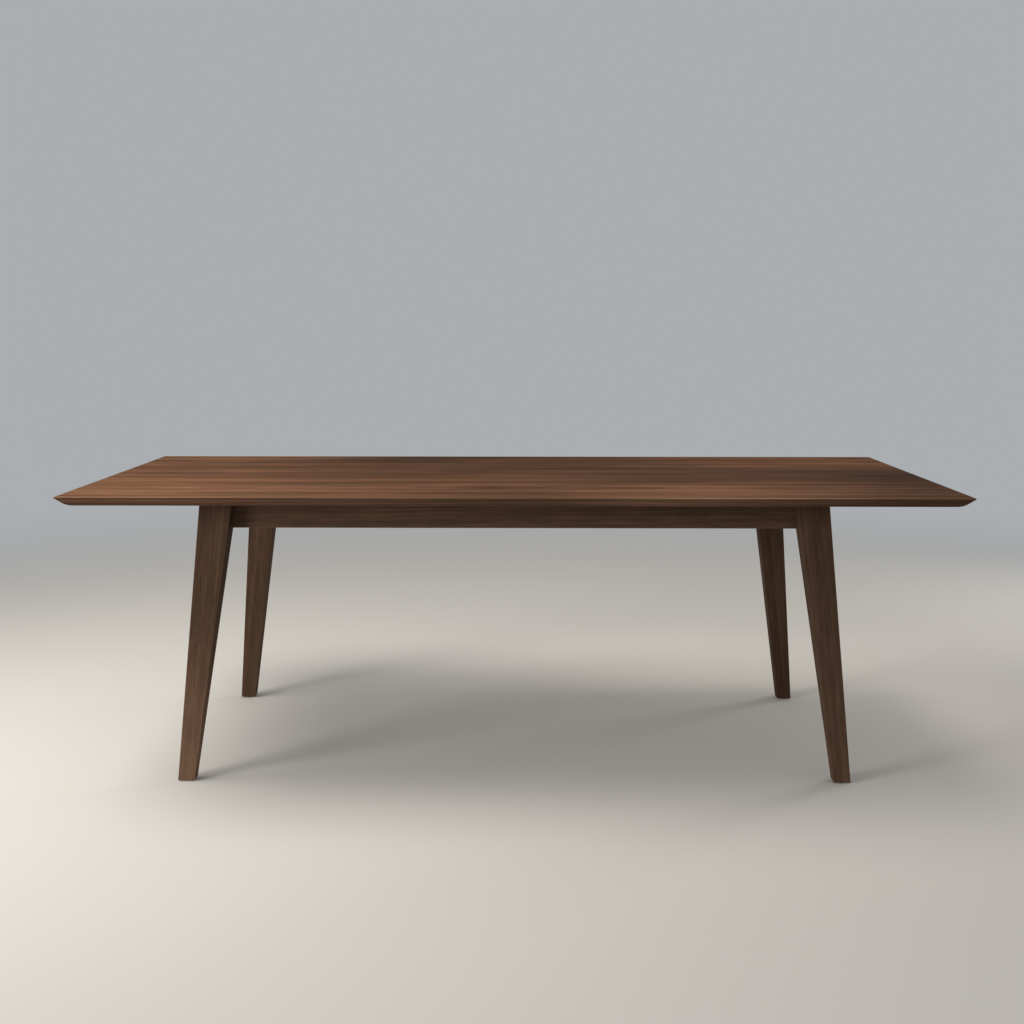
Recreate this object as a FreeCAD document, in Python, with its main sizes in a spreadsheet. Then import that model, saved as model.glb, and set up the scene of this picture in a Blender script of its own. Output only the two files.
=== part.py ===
import FreeCAD, Part
import math
import os
import re
import Sketcher

# Dining table with a solid top, two long and two end aprons, and four splayed tapered legs.
# Millimetres. X runs along the table, Y across it and Z up. The origin is on the floor, under
# the table's centre, and the front is the side towards -Y.

doc = FreeCAD.newDocument("DiningTable")
sheet = doc.addObject("Spreadsheet::Sheet", "Sizes")

board_count = 8

driving_sizes = {
    # the whole table
    "table_length": 2200,
    "table_width": 990,
    "table_height": 740,
    # the top and its knife edge: a short upright land, an under-bevel, then a curve
    "top_thickness": 25,
    "edge_land": 1.2,
    "edge_arris_radius": 0.6,
    "bevel_inset": 15,
    "bevel_drop": 14,
    "plan_corner_radius": 4,
    # the legs, measured where they meet the top and where they meet the floor
    "end_overhang": 314,
    "side_overhang": 149,
    "leg_width_top": 82,
    "leg_width_foot": 42,
    "leg_depth_top": 65,
    "leg_depth_foot": 36,
    "leg_splay_end": 66,
    "leg_splay_side": 50,
    "leg_arris_radius": 1.2,
    # the aprons, set back from the outer faces of the legs
    "apron_height": 76,
    "apron_thickness": 20,
    "apron_reveal": 34,
    "apron_arris_radius": 1,
    # the two cross rails between the long aprons, and the dowels in their ends
    "rail_thickness": 20,
    "rail_rise": 17,
    "rail_share": 0.34,
    "dowel_radius": 4,
    "dowel_length": 36,
    "dowel_margin": 15,
    "dowel_bite_share": 0.6,
    # the corner blocks behind the aprons
    "block_standoff": 40,
    "block_thickness": 20,
    "block_drop": 6,
    "block_rise": 9,
    "block_tip": 6,
    # the hanger bolts, washers and nuts that draw each leg into its corner
    "bolt_radius": 4,
    "bolt_wood_radius": 3.6,
    "bolt_length": 80,
    "bolt_point": 6,
    "bolt_tail": 3,
    "bolt_margin": 12,
    "washer_radius": 8,
    "washer_thickness": 1.6,
    "nut_corner_radius": 7.5,
    "nut_height": 6.5,
    # the pan-head screws that hold the blocks, the clips and the rails
    "screw_radius": 2,
    "screw_head_radius": 4,
    "screw_head_height": 2.5,
    "screw_point": 4,
    "block_screw_seat": 8.5,
    "block_screw_margin": 14,
    "block_screw_bite_share": 0.8,
    "top_screw_bite_share": 0.62,
    "rail_screw_length": 45,
    # the bent steel clips that hold the top down to a groove in each apron
    "clip_width": 20,
    "clip_gauge": 2,
    "clip_drop": 11,
    "clip_standoff": 4,
    "clip_tab": 24,
    "clip_near_share": 0.18,
    "clip_far_share": 0.75,
    "end_clip_share": 0.84,
    "groove_depth": 9,
    "groove_height": 3,
    "groove_end_room": 1,
    # the nail-on glides under the feet
    "glide_radius": 12,
    "glide_height": 3,
    "glide_chamfer": 0.6,
    "nail_radius": 1.2,
    "nail_length": 18,
    "nail_point": 4,
    "nail_head_radius": 4,
    "nail_head_height": 0.9,
    "nail_recess": 1.4,
    # fits and cuts
    "bore_clearance": 0.1,
    "bolt_play": 0.5,
    "screw_play": 0.4,
    "head_play": 1,
    "bore_end_room": 1.5,
    "cut_overrun": 1,
    "match_tolerance": 0.01,
}

worked_sizes = {
    "half_length": "table_length / 2",
    "half_width": "table_width / 2",
    "top_underside": "table_height - top_thickness",
    "board_width": f"table_width / {board_count}",
    "land_foot": "table_height - edge_land",
    "bevel_foot": "land_foot - bevel_drop",
    "bevel_face": "sqrt(bevel_inset ^ 2 + bevel_drop ^ 2)",
    "edge_curve_radius": "(bevel_foot - top_underside) / (1 - bevel_inset / bevel_face)",
    "edge_inset": "bevel_inset + edge_curve_radius * bevel_drop / bevel_face",
    "leg_length": "top_underside - glide_height",
    "leg_top_outer_x": "half_length - end_overhang",
    "leg_top_outer_y": "half_width - side_overhang",
    "leg_top_inner_x": "leg_top_outer_x - leg_width_top",
    "leg_top_inner_y": "leg_top_outer_y - leg_depth_top",
    "leg_foot_outer_x": "leg_top_outer_x + leg_splay_end",
    "leg_foot_outer_y": "leg_top_outer_y + leg_splay_side",
    "leg_foot_inner_x": "leg_foot_outer_x - leg_width_foot",
    "leg_foot_inner_y": "leg_foot_outer_y - leg_depth_foot",
    "leg_slope_x": "(leg_foot_inner_x - leg_top_inner_x) / leg_length",
    "leg_slope_y": "(leg_foot_inner_y - leg_top_inner_y) / leg_length",
    "foot_centre_x": "leg_foot_outer_x - leg_width_foot / 2",
    "foot_centre_y": "leg_foot_outer_y - leg_depth_foot / 2",
    "apron_foot": "top_underside - apron_height",
    "long_apron_face": "leg_top_outer_y - apron_reveal",
    "long_apron_back": "long_apron_face - apron_thickness",
    "long_apron_low_half": "leg_top_inner_x + apron_height * leg_slope_x",
    "end_apron_face": "leg_top_outer_x - apron_reveal",
    "end_apron_back": "end_apron_face - apron_thickness",
    "end_apron_low_half": "leg_top_inner_y + apron_height * leg_slope_y",
    "groove_ceiling": "top_underside - clip_drop",
    "groove_floor": "groove_ceiling - groove_height",
    "rail_centre": "leg_top_inner_x * rail_share",
    "rail_foot": "apron_foot + rail_rise",
    "dowel_bite": "apron_thickness * dowel_bite_share",
    "dowel_low_level": "rail_foot + dowel_margin",
    "dowel_high_level": "groove_floor - dowel_margin / 2",
    "block_head": "top_underside - block_drop",
    "block_foot": "apron_foot + block_rise",
    "block_reach": "block_standoff + block_thickness * sqrt(2)",
    "block_middle": "(block_standoff + block_reach) / 2",
    "bolt_low_level": "block_foot + bolt_margin",
    "bolt_high_level": "block_head - bolt_margin",
    "bolt_stack": "washer_thickness + nut_height + bolt_tail",
    "block_screw_low_level": "block_foot + block_screw_margin",
    "block_screw_high_level": "block_head - block_screw_margin",
    "block_screw_bite": "apron_thickness * block_screw_bite_share",
    "block_screw_length": "block_screw_seat + block_screw_bite",
    "top_screw_bite": "top_thickness * top_screw_bite_share",
    "clip_screw_length": "clip_gauge + top_screw_bite",
    "clip_reach": "groove_depth - groove_end_room",
    "clip_hole_centre": "(clip_standoff + clip_gauge + clip_tab) / 2",
    "rail_screw_seat": "top_underside + top_screw_bite - rail_screw_length",
    "rail_screw_centre": "board_width / 2",
    "clip_near_centre": "(end_apron_back - block_reach) * clip_near_share",
    "clip_far_centre": "(end_apron_back - block_reach) * clip_far_share",
    "end_clip_centre": "(long_apron_back - block_reach) * end_clip_share",
}

# Where each bolt's line enters the leg: halfway between the leg's inner arris and the end
# apron, at the bolt's height. It then runs back at 45 degrees to the block's inner face.
for level in ("low", "high"):
    drop = f"(top_underside - bolt_{level}_level)"
    worked_sizes.update({
        f"bolt_{level}_entry_x": f"(leg_top_inner_x + {drop} * leg_slope_x + end_apron_back) / 2",
        f"bolt_{level}_entry_y": f"leg_top_inner_y + {drop} * leg_slope_y",
        f"bolt_{level}_back": f"(block_reach - (end_apron_back - bolt_{level}_entry_x)"
                              f" - (long_apron_back - bolt_{level}_entry_y)) / 2",
        f"bolt_{level}_seat_x": f"bolt_{level}_entry_x - bolt_{level}_back",
        f"bolt_{level}_seat_y": f"bolt_{level}_entry_y - bolt_{level}_back",
    })

for row, (name, number) in enumerate(driving_sizes.items(), start=1):
    sheet.set(f"A{row}", str(number))
    sheet.setAlias(f"A{row}", name)
for row, (name, formula) in enumerate(worked_sizes.items(), start=1):
    sheet.set(f"B{row}", "=" + formula)
    sheet.setAlias(f"B{row}", name)
doc.recompute()

corners = {
    "front_left": (-1, -1),
    "front_right": (1, -1),
    "rear_left": (-1, 1),
    "rear_right": (1, 1),
}
up = FreeCAD.Vector(0, 0, 1)
nodes = {}
bores = {}


def value(formula):
    return float(sheet.evalExpression(formula))


def bind(item, target, formula):
    item.setExpression(target, re.sub(r"\b([a-z]+_[a-z_]+)\b", r"Sizes.\1", formula))


def sided(side, formula):
    return f"{side} * ({formula})"


# Sketches and solid features

def new_body(label):
    body = doc.addObject("PartDesign::Body", label)
    body.Label = label
    return body


def new_sketch(body, plane, offset=None):
    sketch = body.newObject("Sketcher::SketchObject", f"{body.Name}_sketch")
    base = next(item for item in body.Origin.OriginFeatures if item.Role == plane)
    sketch.AttachmentSupport = (base, [""])
    sketch.MapMode = "FlatFace"
    if offset:
        bind(sketch, "AttachmentOffset.Base.z", offset)
    return sketch


def fix(sketch, geometry, point, across, along):
    for kind, formula in (("DistanceX", across), ("DistanceY", along)):
        rule = Sketcher.Constraint(kind, -1, 1, geometry, point, value(formula))
        number = sketch.addConstraint(rule)
        bind(sketch, f"Constraints[{number}]", formula)


def fix_radius(sketch, geometry, formula):
    number = sketch.addConstraint(Sketcher.Constraint("Radius", geometry, value(formula)))
    bind(sketch, f"Constraints[{number}]", formula)


# The shorter of the two arcs between two directions from a circle's centre
def short_arc(circle, first, last):
    angles = [math.atan2(direction.y, direction.x) for direction in (first, last)]
    if (angles[1] - angles[0]) % math.tau > math.pi:
        angles.reverse()
    return Part.ArcOfCircle(circle, angles[0], angles[1])


# A closed outline. Each corner is (across, along), with (centre across, centre along, radius)
# after it where an arc leads to the next corner.
def draw_outline(sketch, outline):
    places = [FreeCAD.Vector(value(corner[0]), value(corner[1]), 0) for corner in outline]
    ends = []
    for index, corner in enumerate(outline):
        start = places[index]
        end = places[(index + 1) % len(places)]
        if len(corner) == 2:
            number = sketch.addGeometry(Part.LineSegment(start, end), False)
        else:
            centre = FreeCAD.Vector(value(corner[2]), value(corner[3]), 0)
            circle = Part.Circle(centre, up, value(corner[4]))
            number = sketch.addGeometry(short_arc(circle, start - centre, end - centre), False)
        first = sketch.getPoint(number, 1)
        forward = first.distanceToPoint(start) < first.distanceToPoint(end)
        ends.append((number, 1, 2) if forward else (number, 2, 1))
    for index, (number, first, last) in enumerate(ends):
        following, following_first, _ = ends[(index + 1) % len(ends)]
        sketch.addConstraint(
            Sketcher.Constraint("Coincident", number, last, following, following_first))
        fix(sketch, number, first, outline[index][0], outline[index][1])
        if len(outline[index]) > 2:
            fix_radius(sketch, number, outline[index][4])


# The same corners walked the other way, with each arc kept between its two corners.
def walked_back(outline):
    back = []
    for index in reversed(range(len(outline))):
        arc = outline[index - 1][2:] if index else ()
        back.append(outline[index][:2] + arc)
    return back


# An outline's corner, and the centre of any arc there, moved to the given quarter of the plan
def mirrored(corner, side_x, side_y):
    sides = (side_x, side_y, side_x, side_y)
    return tuple(sided(side, formula) for side, formula in zip(sides, corner)) + corner[4:]


def box_outline(left, right, low, high):
    return [(left, low), (right, low), (right, high), (left, high)]


def add_pad(body, sketch, length):
    pad = body.newObject("PartDesign::Pad", f"{body.Name}_pad")
    pad.Profile = sketch
    bind(pad, "Length", length)
    doc.recompute()
    return pad


def cut_through(body, sketch):
    before = body.Shape.Volume
    pocket = body.newObject("PartDesign::Pocket", f"{body.Name}_pocket")
    pocket.Profile = sketch
    pocket.Type = "ThroughAll"
    pocket.SideType = "Symmetric"
    doc.recompute()
    if body.Shape.Volume >= before:
        raise RuntimeError(f"a cut in {body.Label} removed nothing")


def round_edges(body, feature, radius, wanted):
    names = [f"Edge{number}" for number, edge in enumerate(feature.Shape.Edges, start=1) if wanted(edge)]
    fillet = body.newObject("PartDesign::Fillet", f"{body.Name}_fillet")
    fillet.Base = (feature, names)
    bind(fillet, "Radius", radius)
    doc.recompute()


def at_height(edge, height):
    return all(abs(vertex.Z - height) < value("match_tolerance") for vertex in edge.Vertexes)


# The pieces of the top

# One edge of the top in section, from the upper arris down and in to the flat underside.
def edge_section(reach, side):
    inner = f"{reach} - edge_inset"
    eased = f"{reach} - edge_arris_radius"
    arris_foot = "table_height - edge_arris_radius"
    return [
        (sided(side, eased), "table_height", sided(side, eased), arris_foot, "edge_arris_radius"),
        (sided(side, reach), arris_foot),
        (sided(side, reach), "land_foot"),
        (sided(side, f"{reach} - bevel_inset"), "bevel_foot",
         sided(side, inner), "top_underside + edge_curve_radius", "edge_curve_radius"),
        (sided(side, inner), "top_underside"),
    ]


# A board runs the table's whole length and has the edge's section at both ends.
def make_board(number):
    body = new_body(f"top_board_{number}")
    rear = f"board_width * {number} - half_width"
    sketch = new_sketch(body, "XZ_Plane", f"-({rear})")
    draw_outline(sketch, edge_section("half_length", 1) + walked_back(edge_section("half_length", -1)))
    add_pad(body, sketch, "board_width")
    if number == 1:
        shape_long_edge(body, -1)
    if number == board_count:
        shape_long_edge(body, 1)
    return body


# The outer boards have the same section along their outer edge, and eased plan corners.
def shape_long_edge(body, side):
    sketch = new_sketch(body, "YZ_Plane")
    outside = sided(side, "half_width + cut_overrun")
    below = "top_underside - cut_overrun"
    above = "table_height + cut_overrun"
    draw_outline(sketch, edge_section("half_width", side) + [
        (sided(side, "half_width - edge_inset"), below),
        (outside, below),
        (outside, above),
        (sided(side, "half_width - edge_arris_radius"), above),
    ])
    cut_through(body, sketch)
    for end in (-1, 1):
        sketch = new_sketch(body, "XY_Plane")
        start_x = sided(end, "half_length - plan_corner_radius")
        start_y = sided(side, "half_width - plan_corner_radius")
        outside_x = sided(end, "half_length + cut_overrun")
        draw_outline(sketch, [
            (start_x, sided(side, "half_width"), start_x, start_y, "plan_corner_radius"),
            (sided(end, "half_length"), start_y),
            (outside_x, start_y),
            (outside_x, outside),
            (start_x, outside),
        ])
        cut_through(body, sketch)


# The pieces of the base

# A long apron is cut at its ends to the slope of the legs, and grooved inside for the clips.
def make_long_apron(label, side):
    body = new_body(label)
    rear_face = "long_apron_face" if side > 0 else "-long_apron_back"
    sketch = new_sketch(body, "XZ_Plane", f"-({rear_face})")
    draw_outline(sketch, [
        ("-long_apron_low_half", "apron_foot"),
        ("long_apron_low_half", "apron_foot"),
        ("leg_top_inner_x", "top_underside"),
        ("-leg_top_inner_x", "top_underside"),
    ])
    pad = add_pad(body, sketch, "apron_thickness")
    round_edges(body, pad, "apron_arris_radius", is_low_arris)
    sketch = new_sketch(body, "YZ_Plane")
    draw_outline(sketch, box_outline(
        sided(side, "long_apron_back - cut_overrun"), sided(side, "long_apron_back + groove_depth"),
        "groove_floor", "groove_ceiling"))
    cut_through(body, sketch)
    return body


def make_end_apron(label, side):
    body = new_body(label)
    near_face = "end_apron_back" if side > 0 else "-end_apron_face"
    sketch = new_sketch(body, "YZ_Plane", near_face)
    draw_outline(sketch, [
        ("-end_apron_low_half", "apron_foot"),
        ("end_apron_low_half", "apron_foot"),
        ("leg_top_inner_y", "top_underside"),
        ("-leg_top_inner_y", "top_underside"),
    ])
    pad = add_pad(body, sketch, "apron_thickness")
    round_edges(body, pad, "apron_arris_radius", is_low_arris)
    sketch = new_sketch(body, "XZ_Plane")
    draw_outline(sketch, box_outline(
        sided(side, "end_apron_back - cut_overrun"), sided(side, "end_apron_back + groove_depth"),
        "groove_floor", "groove_ceiling"))
    cut_through(body, sketch)
    return body


def is_low_arris(edge):
    return at_height(edge, value("apron_foot")) and edge.Length > value("apron_thickness * 2")


# A leg tapers and leans outwards both ways. Its four long faces are flat, with eased arrises.
def make_leg(label, side_x, side_y):
    body = new_body(label)
    ends = []
    for end, height in (("foot", "glide_height"), ("top", "top_underside")):
        sketch = new_sketch(body, "XY_Plane", height)
        draw_outline(sketch, [mirrored(corner, side_x, side_y) for corner in leg_section(end)])
        ends.append(sketch)
    loft = body.newObject("PartDesign::AdditiveLoft", f"{body.Name}_loft")
    loft.Profile = ends[0]
    loft.Sections = [ends[1]]
    loft.Ruled = True
    doc.recompute()
    return body


# A leg's section at its foot or its top, with a quarter arc at each corner
def leg_section(end):
    inner_x, outer_x, inner_y, outer_y = (
        f"leg_{end}_{place}" for place in ("inner_x", "outer_x", "inner_y", "outer_y"))
    radius = "leg_arris_radius"
    near_x, far_x = f"{inner_x} + {radius}", f"{outer_x} - {radius}"
    near_y, far_y = f"{inner_y} + {radius}", f"{outer_y} - {radius}"
    return [
        (near_x, inner_y),
        (far_x, inner_y, far_x, near_y, radius),
        (outer_x, near_y),
        (outer_x, far_y, far_x, far_y, radius),
        (far_x, outer_y),
        (near_x, outer_y, near_x, far_y, radius),
        (inner_x, far_y),
        (inner_x, near_y, near_x, near_y, radius),
    ]


def make_cross_rail(label, side):
    body = new_body(label)
    sketch = new_sketch(body, "XZ_Plane", "-long_apron_back")
    draw_outline(sketch, box_outline(
        sided(side, "rail_centre - rail_thickness / 2"), sided(side, "rail_centre + rail_thickness / 2"),
        "rail_foot", "top_underside"))
    pad = add_pad(body, sketch, "long_apron_back * 2")
    round_edges(body, pad, "apron_arris_radius", is_rail_arris)
    return body


def is_rail_arris(edge):
    return at_height(edge, value("rail_foot")) and edge.Length > value("rail_thickness * 2")


# A corner block crosses the corner at 45 degrees, with blunt tips against both aprons.
def make_corner_block(label, side_x, side_y):
    body = new_body(label)
    sketch = new_sketch(body, "XY_Plane", "block_foot")
    plan = [
        ("end_apron_back - block_standoff", "long_apron_back"),
        ("end_apron_back - block_reach + block_tip", "long_apron_back"),
        ("end_apron_back - block_reach + block_tip", "long_apron_back - block_tip"),
        ("end_apron_back - block_tip", "long_apron_back - block_reach + block_tip"),
        ("end_apron_back", "long_apron_back - block_reach + block_tip"),
        ("end_apron_back", "long_apron_back - block_standoff"),
    ]
    draw_outline(sketch, [mirrored(corner, side_x, side_y) for corner in plan])
    add_pad(body, sketch, "block_head - block_foot")
    return body


def make_glide(label, side_x, side_y):
    body = new_body(label)
    sketch = new_sketch(body, "XY_Plane")
    across = sided(side_x, "foot_centre_x")
    along = sided(side_y, "foot_centre_y")
    centre = FreeCAD.Vector(value(across), value(along), 0)
    number = sketch.addGeometry(Part.Circle(centre, up, value("glide_radius")), False)
    fix(sketch, number, 3, across, along)
    fix_radius(sketch, number, "glide_radius")
    pad = add_pad(body, sketch, "glide_height")
    rims = [f"Edge{number}" for number, edge in enumerate(pad.Shape.Edges, start=1) if at_height(edge, 0)]
    chamfer = body.newObject("PartDesign::Chamfer", f"{body.Name}_chamfer")
    chamfer.Base = (pad, rims)
    bind(chamfer, "Size", "glide_chamfer")
    doc.recompute()
    return body


# Fasteners. Each kind is made once, along +Z from its seat, and placed as often as it is used.

def rod(name, radius, start, length):
    piece = doc.addObject("Part::Cylinder", name)
    bind(piece, "Radius", radius)
    bind(piece, "Height", length)
    bind(piece, "Placement.Base.z", start)
    return piece


def point(name, radius, start, length):
    piece = doc.addObject("Part::Cone", name)
    bind(piece, "Radius1", radius)
    bind(piece, "Radius2", f"({radius}) / 4")
    bind(piece, "Height", length)
    bind(piece, "Placement.Base.z", start)
    return piece


def block_of(name, across, inwards, high):
    piece = doc.addObject("Part::Box", name)
    for letter, size_name, (low, top) in zip("xyz", ("Length", "Width", "Height"), (across, inwards, high)):
        bind(piece, size_name, f"({top}) - ({low})")
        bind(piece, f"Placement.Base.{letter}", low)
    return piece


def joined(name, pieces):
    union = doc.addObject("Part::MultiFuse", name)
    union.Shapes = pieces
    return union


def less(name, base, tool):
    rest = doc.addObject("Part::Cut", name)
    rest.Base = base
    rest.Tool = tool
    return rest


def make_screw(name, length):
    return joined(name, [
        rod(f"{name}_head", "screw_head_radius", "-screw_head_height", "screw_head_height"),
        rod(f"{name}_shank", "screw_radius", "0", f"{length} - screw_point"),
        point(f"{name}_point", "screw_radius", f"{length} - screw_point", "screw_point"),
    ])


# Places a kind of fastener, or the bore for it, with its +Z turned to the given direction.
def placed(kind, place, direction, turn=None):
    copy = doc.addObject("App::Link", f"{kind.Name}_placed")
    copy.LinkedObject = kind
    copy.LinkTransform = True
    rotation = turn if turn else FreeCAD.Rotation(up, FreeCAD.Vector(*direction))
    copy.Placement = FreeCAD.Placement(FreeCAD.Vector(), rotation)
    for letter, formula in zip("xyz", place):
        bind(copy, f"Placement.Base.{letter}", formula)
    return copy


def add_bore(node, kind, place, direction):
    bores.setdefault(node, []).append(placed(kind, place, direction))


# A hole in the top is cut in each board that it reaches.
def add_top_bore(kind, place, direction, radius):
    for number in range(1, board_count + 1):
        distance = abs(value(place[1]) - value(f"board_width * ({number} - 0.5) - half_width"))
        if distance < value(f"board_width / 2 + {radius}"):
            add_bore(f"top_board_{number}", kind, place, direction)


def add_group(label, members):
    group = doc.addObject("Part::Compound", label)
    group.Links = members
    group.Label = label
    nodes[label] = group


def finish_piece(body):
    label = body.Label
    cutters = bores.get(label)
    if not cutters:
        nodes[label] = body
        return
    body.Label = f"{label}_undrilled"
    tool = cutters[0] if len(cutters) == 1 else joined(f"{label}_bores", cutters)
    drilled = less(f"{label}_drilled", body, tool)
    drilled.Label = label
    nodes[label] = drilled


bolt = joined("bolt_kind", [
    rod("bolt_machine_half", "bolt_radius", "-bolt_stack", "bolt_length / 2"),
    rod("bolt_wood_half", "bolt_wood_radius", "bolt_length / 2 - bolt_stack", "bolt_length / 2 - bolt_point"),
    point("bolt_tip", "bolt_wood_radius", "bolt_length - bolt_stack - bolt_point", "bolt_point"),
])
washer = less(
    "washer_kind",
    rod("washer_disc", "washer_radius", "-washer_thickness", "washer_thickness"),
    rod("washer_hole", "bolt_radius + bolt_play", "-washer_thickness - cut_overrun",
        "washer_thickness + cut_overrun * 2"))
nut_body = doc.addObject("Part::Prism", "nut_body")
nut_body.Polygon = 6
bind(nut_body, "Circumradius", "nut_corner_radius")
bind(nut_body, "Height", "nut_height")
bind(nut_body, "Placement.Base.z", "-washer_thickness - nut_height")
nut = less("nut_kind", nut_body, rod(
    "nut_hole", "bolt_radius + bore_clearance", "-bolt_stack", "bolt_stack"))
block_bolt_bore = rod(
    "block_bolt_bore", "bolt_radius + bolt_play", "-cut_overrun", "block_thickness + cut_overrun * 2")
leg_bolt_bore = rod(
    "leg_bolt_bore", "bolt_wood_radius + bore_clearance", "block_thickness",
    "bolt_length - bolt_stack - block_thickness + bore_end_room")

# Block screws start at the apron's inner face, so their seat lies back inside the block.
block_screw = make_screw("block_screw_kind", "block_screw_length")
block_screw_bore = joined("block_screw_bore", [
    rod("block_screw_way", "screw_radius + screw_play", "-cut_overrun",
              "block_screw_seat + cut_overrun * 2"),
    rod("block_screw_sink", "screw_head_radius + head_play", "-block_reach", "block_reach"),
])
apron_screw_bore = rod(
    "apron_screw_bore", "screw_radius + bore_clearance", "block_screw_seat - cut_overrun",
    "block_screw_bite + cut_overrun + bore_end_room / 2")

clip_parts = joined("clip_bent", [
    block_of("clip_tongue", ("-clip_width / 2", "clip_width / 2"),
             ("-clip_reach", "clip_standoff + clip_gauge"), ("-clip_drop - clip_gauge", "-clip_drop")),
    block_of("clip_riser", ("-clip_width / 2", "clip_width / 2"),
             ("clip_standoff", "clip_standoff + clip_gauge"), ("-clip_drop - clip_gauge", "0")),
    block_of("clip_tab_plate", ("-clip_width / 2", "clip_width / 2"),
             ("clip_standoff", "clip_standoff + clip_tab"), ("-clip_gauge", "0")),
])
clip_hole = rod("clip_hole", "screw_radius + screw_play", "-clip_gauge - cut_overrun",
                "clip_gauge + cut_overrun * 2")
bind(clip_hole, "Placement.Base.y", "clip_hole_centre")
clip = less("clip_kind", clip_parts, clip_hole)
clip_screw = make_screw("clip_screw_kind", "clip_screw_length")
clip_screw_bore = rod("clip_screw_bore", "screw_radius + bore_clearance", "0",
                            "clip_screw_length + bore_end_room")

rail_screw = make_screw("rail_screw_kind", "rail_screw_length")
rail_screw_bore = joined("rail_screw_bore", [
    rod("rail_screw_way", "screw_radius + screw_play", "-cut_overrun", "rail_screw_length"),
    rod("rail_screw_sink", "screw_head_radius + head_play", "-apron_height", "apron_height"),
])
rail_pilot_bore = rod("rail_pilot_bore", "screw_radius + bore_clearance", "0",
                            "rail_screw_length + bore_end_room")

dowel = rod("dowel_kind", "dowel_radius", "dowel_bite - dowel_length", "dowel_length")
dowel_bore = rod("dowel_bore", "dowel_radius + bore_clearance",
                       "dowel_bite - dowel_length - bore_end_room", "dowel_length + bore_end_room * 2")

nail = joined("nail_kind", [
    rod("nail_head", "nail_head_radius", "-nail_head_height", "nail_head_height"),
    rod("nail_shank", "nail_radius", "0", "nail_length - nail_point"),
    point("nail_tip", "nail_radius", "nail_length - nail_point", "nail_point"),
])
glide_bore = joined("glide_bore", [
    rod("glide_way", "nail_radius + bore_clearance", "-cut_overrun", "glide_height + cut_overrun"),
    rod("glide_sink", "nail_head_radius + bore_clearance * 2", "-nail_recess - cut_overrun",
              "nail_recess + cut_overrun"),
])
foot_bore = rod("foot_bore", "nail_radius + bore_clearance", "0", "nail_length + bore_end_room")

# The four corners: hanger bolts with washers and nuts, block screws, and glides with nails
for corner, (side_x, side_y) in corners.items():
    towards_leg = (side_x, side_y, 0)
    seats = [(sided(side_x, f"bolt_{level}_seat_x"), sided(side_y, f"bolt_{level}_seat_y"),
              f"bolt_{level}_level") for level in ("low", "high")]
    add_group(f"hanger_bolts_{corner}", [placed(bolt, seat, towards_leg) for seat in seats])
    add_group(f"bolt_washers_{corner}", [placed(washer, seat, towards_leg) for seat in seats])
    add_group(f"bolt_nuts_{corner}", [placed(nut, seat, towards_leg) for seat in seats])
    for seat in seats:
        add_bore(f"corner_block_{corner}", block_bolt_bore, seat, towards_leg)
        add_bore(f"leg_{corner}", leg_bolt_bore, seat, towards_leg)
    front_or_rear, left_or_right = corner.split("_")
    screws = []
    for level in ("low", "high"):
        height = f"block_screw_{level}_level"
        for apron, place, direction in (
            (f"long_apron_{front_or_rear}",
             (sided(side_x, "end_apron_back - block_middle"),
              sided(side_y, "long_apron_back - block_screw_seat"), height), (0, side_y, 0)),
            (f"end_apron_{left_or_right}",
             (sided(side_x, "end_apron_back - block_screw_seat"),
              sided(side_y, "long_apron_back - block_middle"), height), (side_x, 0, 0)),
        ):
            screws.append(placed(block_screw, place, direction))
            add_bore(f"corner_block_{corner}", block_screw_bore, place, direction)
            add_bore(apron, apron_screw_bore, place, direction)
    add_group(f"block_screws_{corner}", screws)
    foot = (sided(side_x, "foot_centre_x"), sided(side_y, "foot_centre_y"))
    nail_seat = foot + ("nail_recess",)
    add_group(f"glide_nail_{corner}", [placed(nail, nail_seat, (0, 0, 1))])
    add_bore(f"glide_{corner}", glide_bore, nail_seat, (0, 0, 1))
    add_bore(f"leg_{corner}", foot_bore, nail_seat, (0, 0, 1))

# The cross rails' dowels, and the long screws that run up through the rails into the top
dowels = []
rail_screws = []
for side_x, rail in ((-1, "cross_rail_left"), (1, "cross_rail_right")):
    across = sided(side_x, "rail_centre")
    for side_y, apron in ((-1, "long_apron_front"), (1, "long_apron_rear")):
        for level in ("low", "high"):
            place = (across, sided(side_y, "long_apron_back"), f"dowel_{level}_level")
            dowels.append(placed(dowel, place, (0, side_y, 0)))
            add_bore(rail, dowel_bore, place, (0, side_y, 0))
            add_bore(apron, dowel_bore, place, (0, side_y, 0))
        place = (across, sided(side_y, "rail_screw_centre"), "rail_screw_seat")
        rail_screws.append(placed(rail_screw, place, (0, 0, 1)))
        add_bore(rail, rail_screw_bore, place, (0, 0, 1))
        add_top_bore(rail_pilot_bore, place, (0, 0, 1), "screw_radius")
add_group("rail_dowels", dowels)
add_group("rail_screws", rail_screws)

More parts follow.
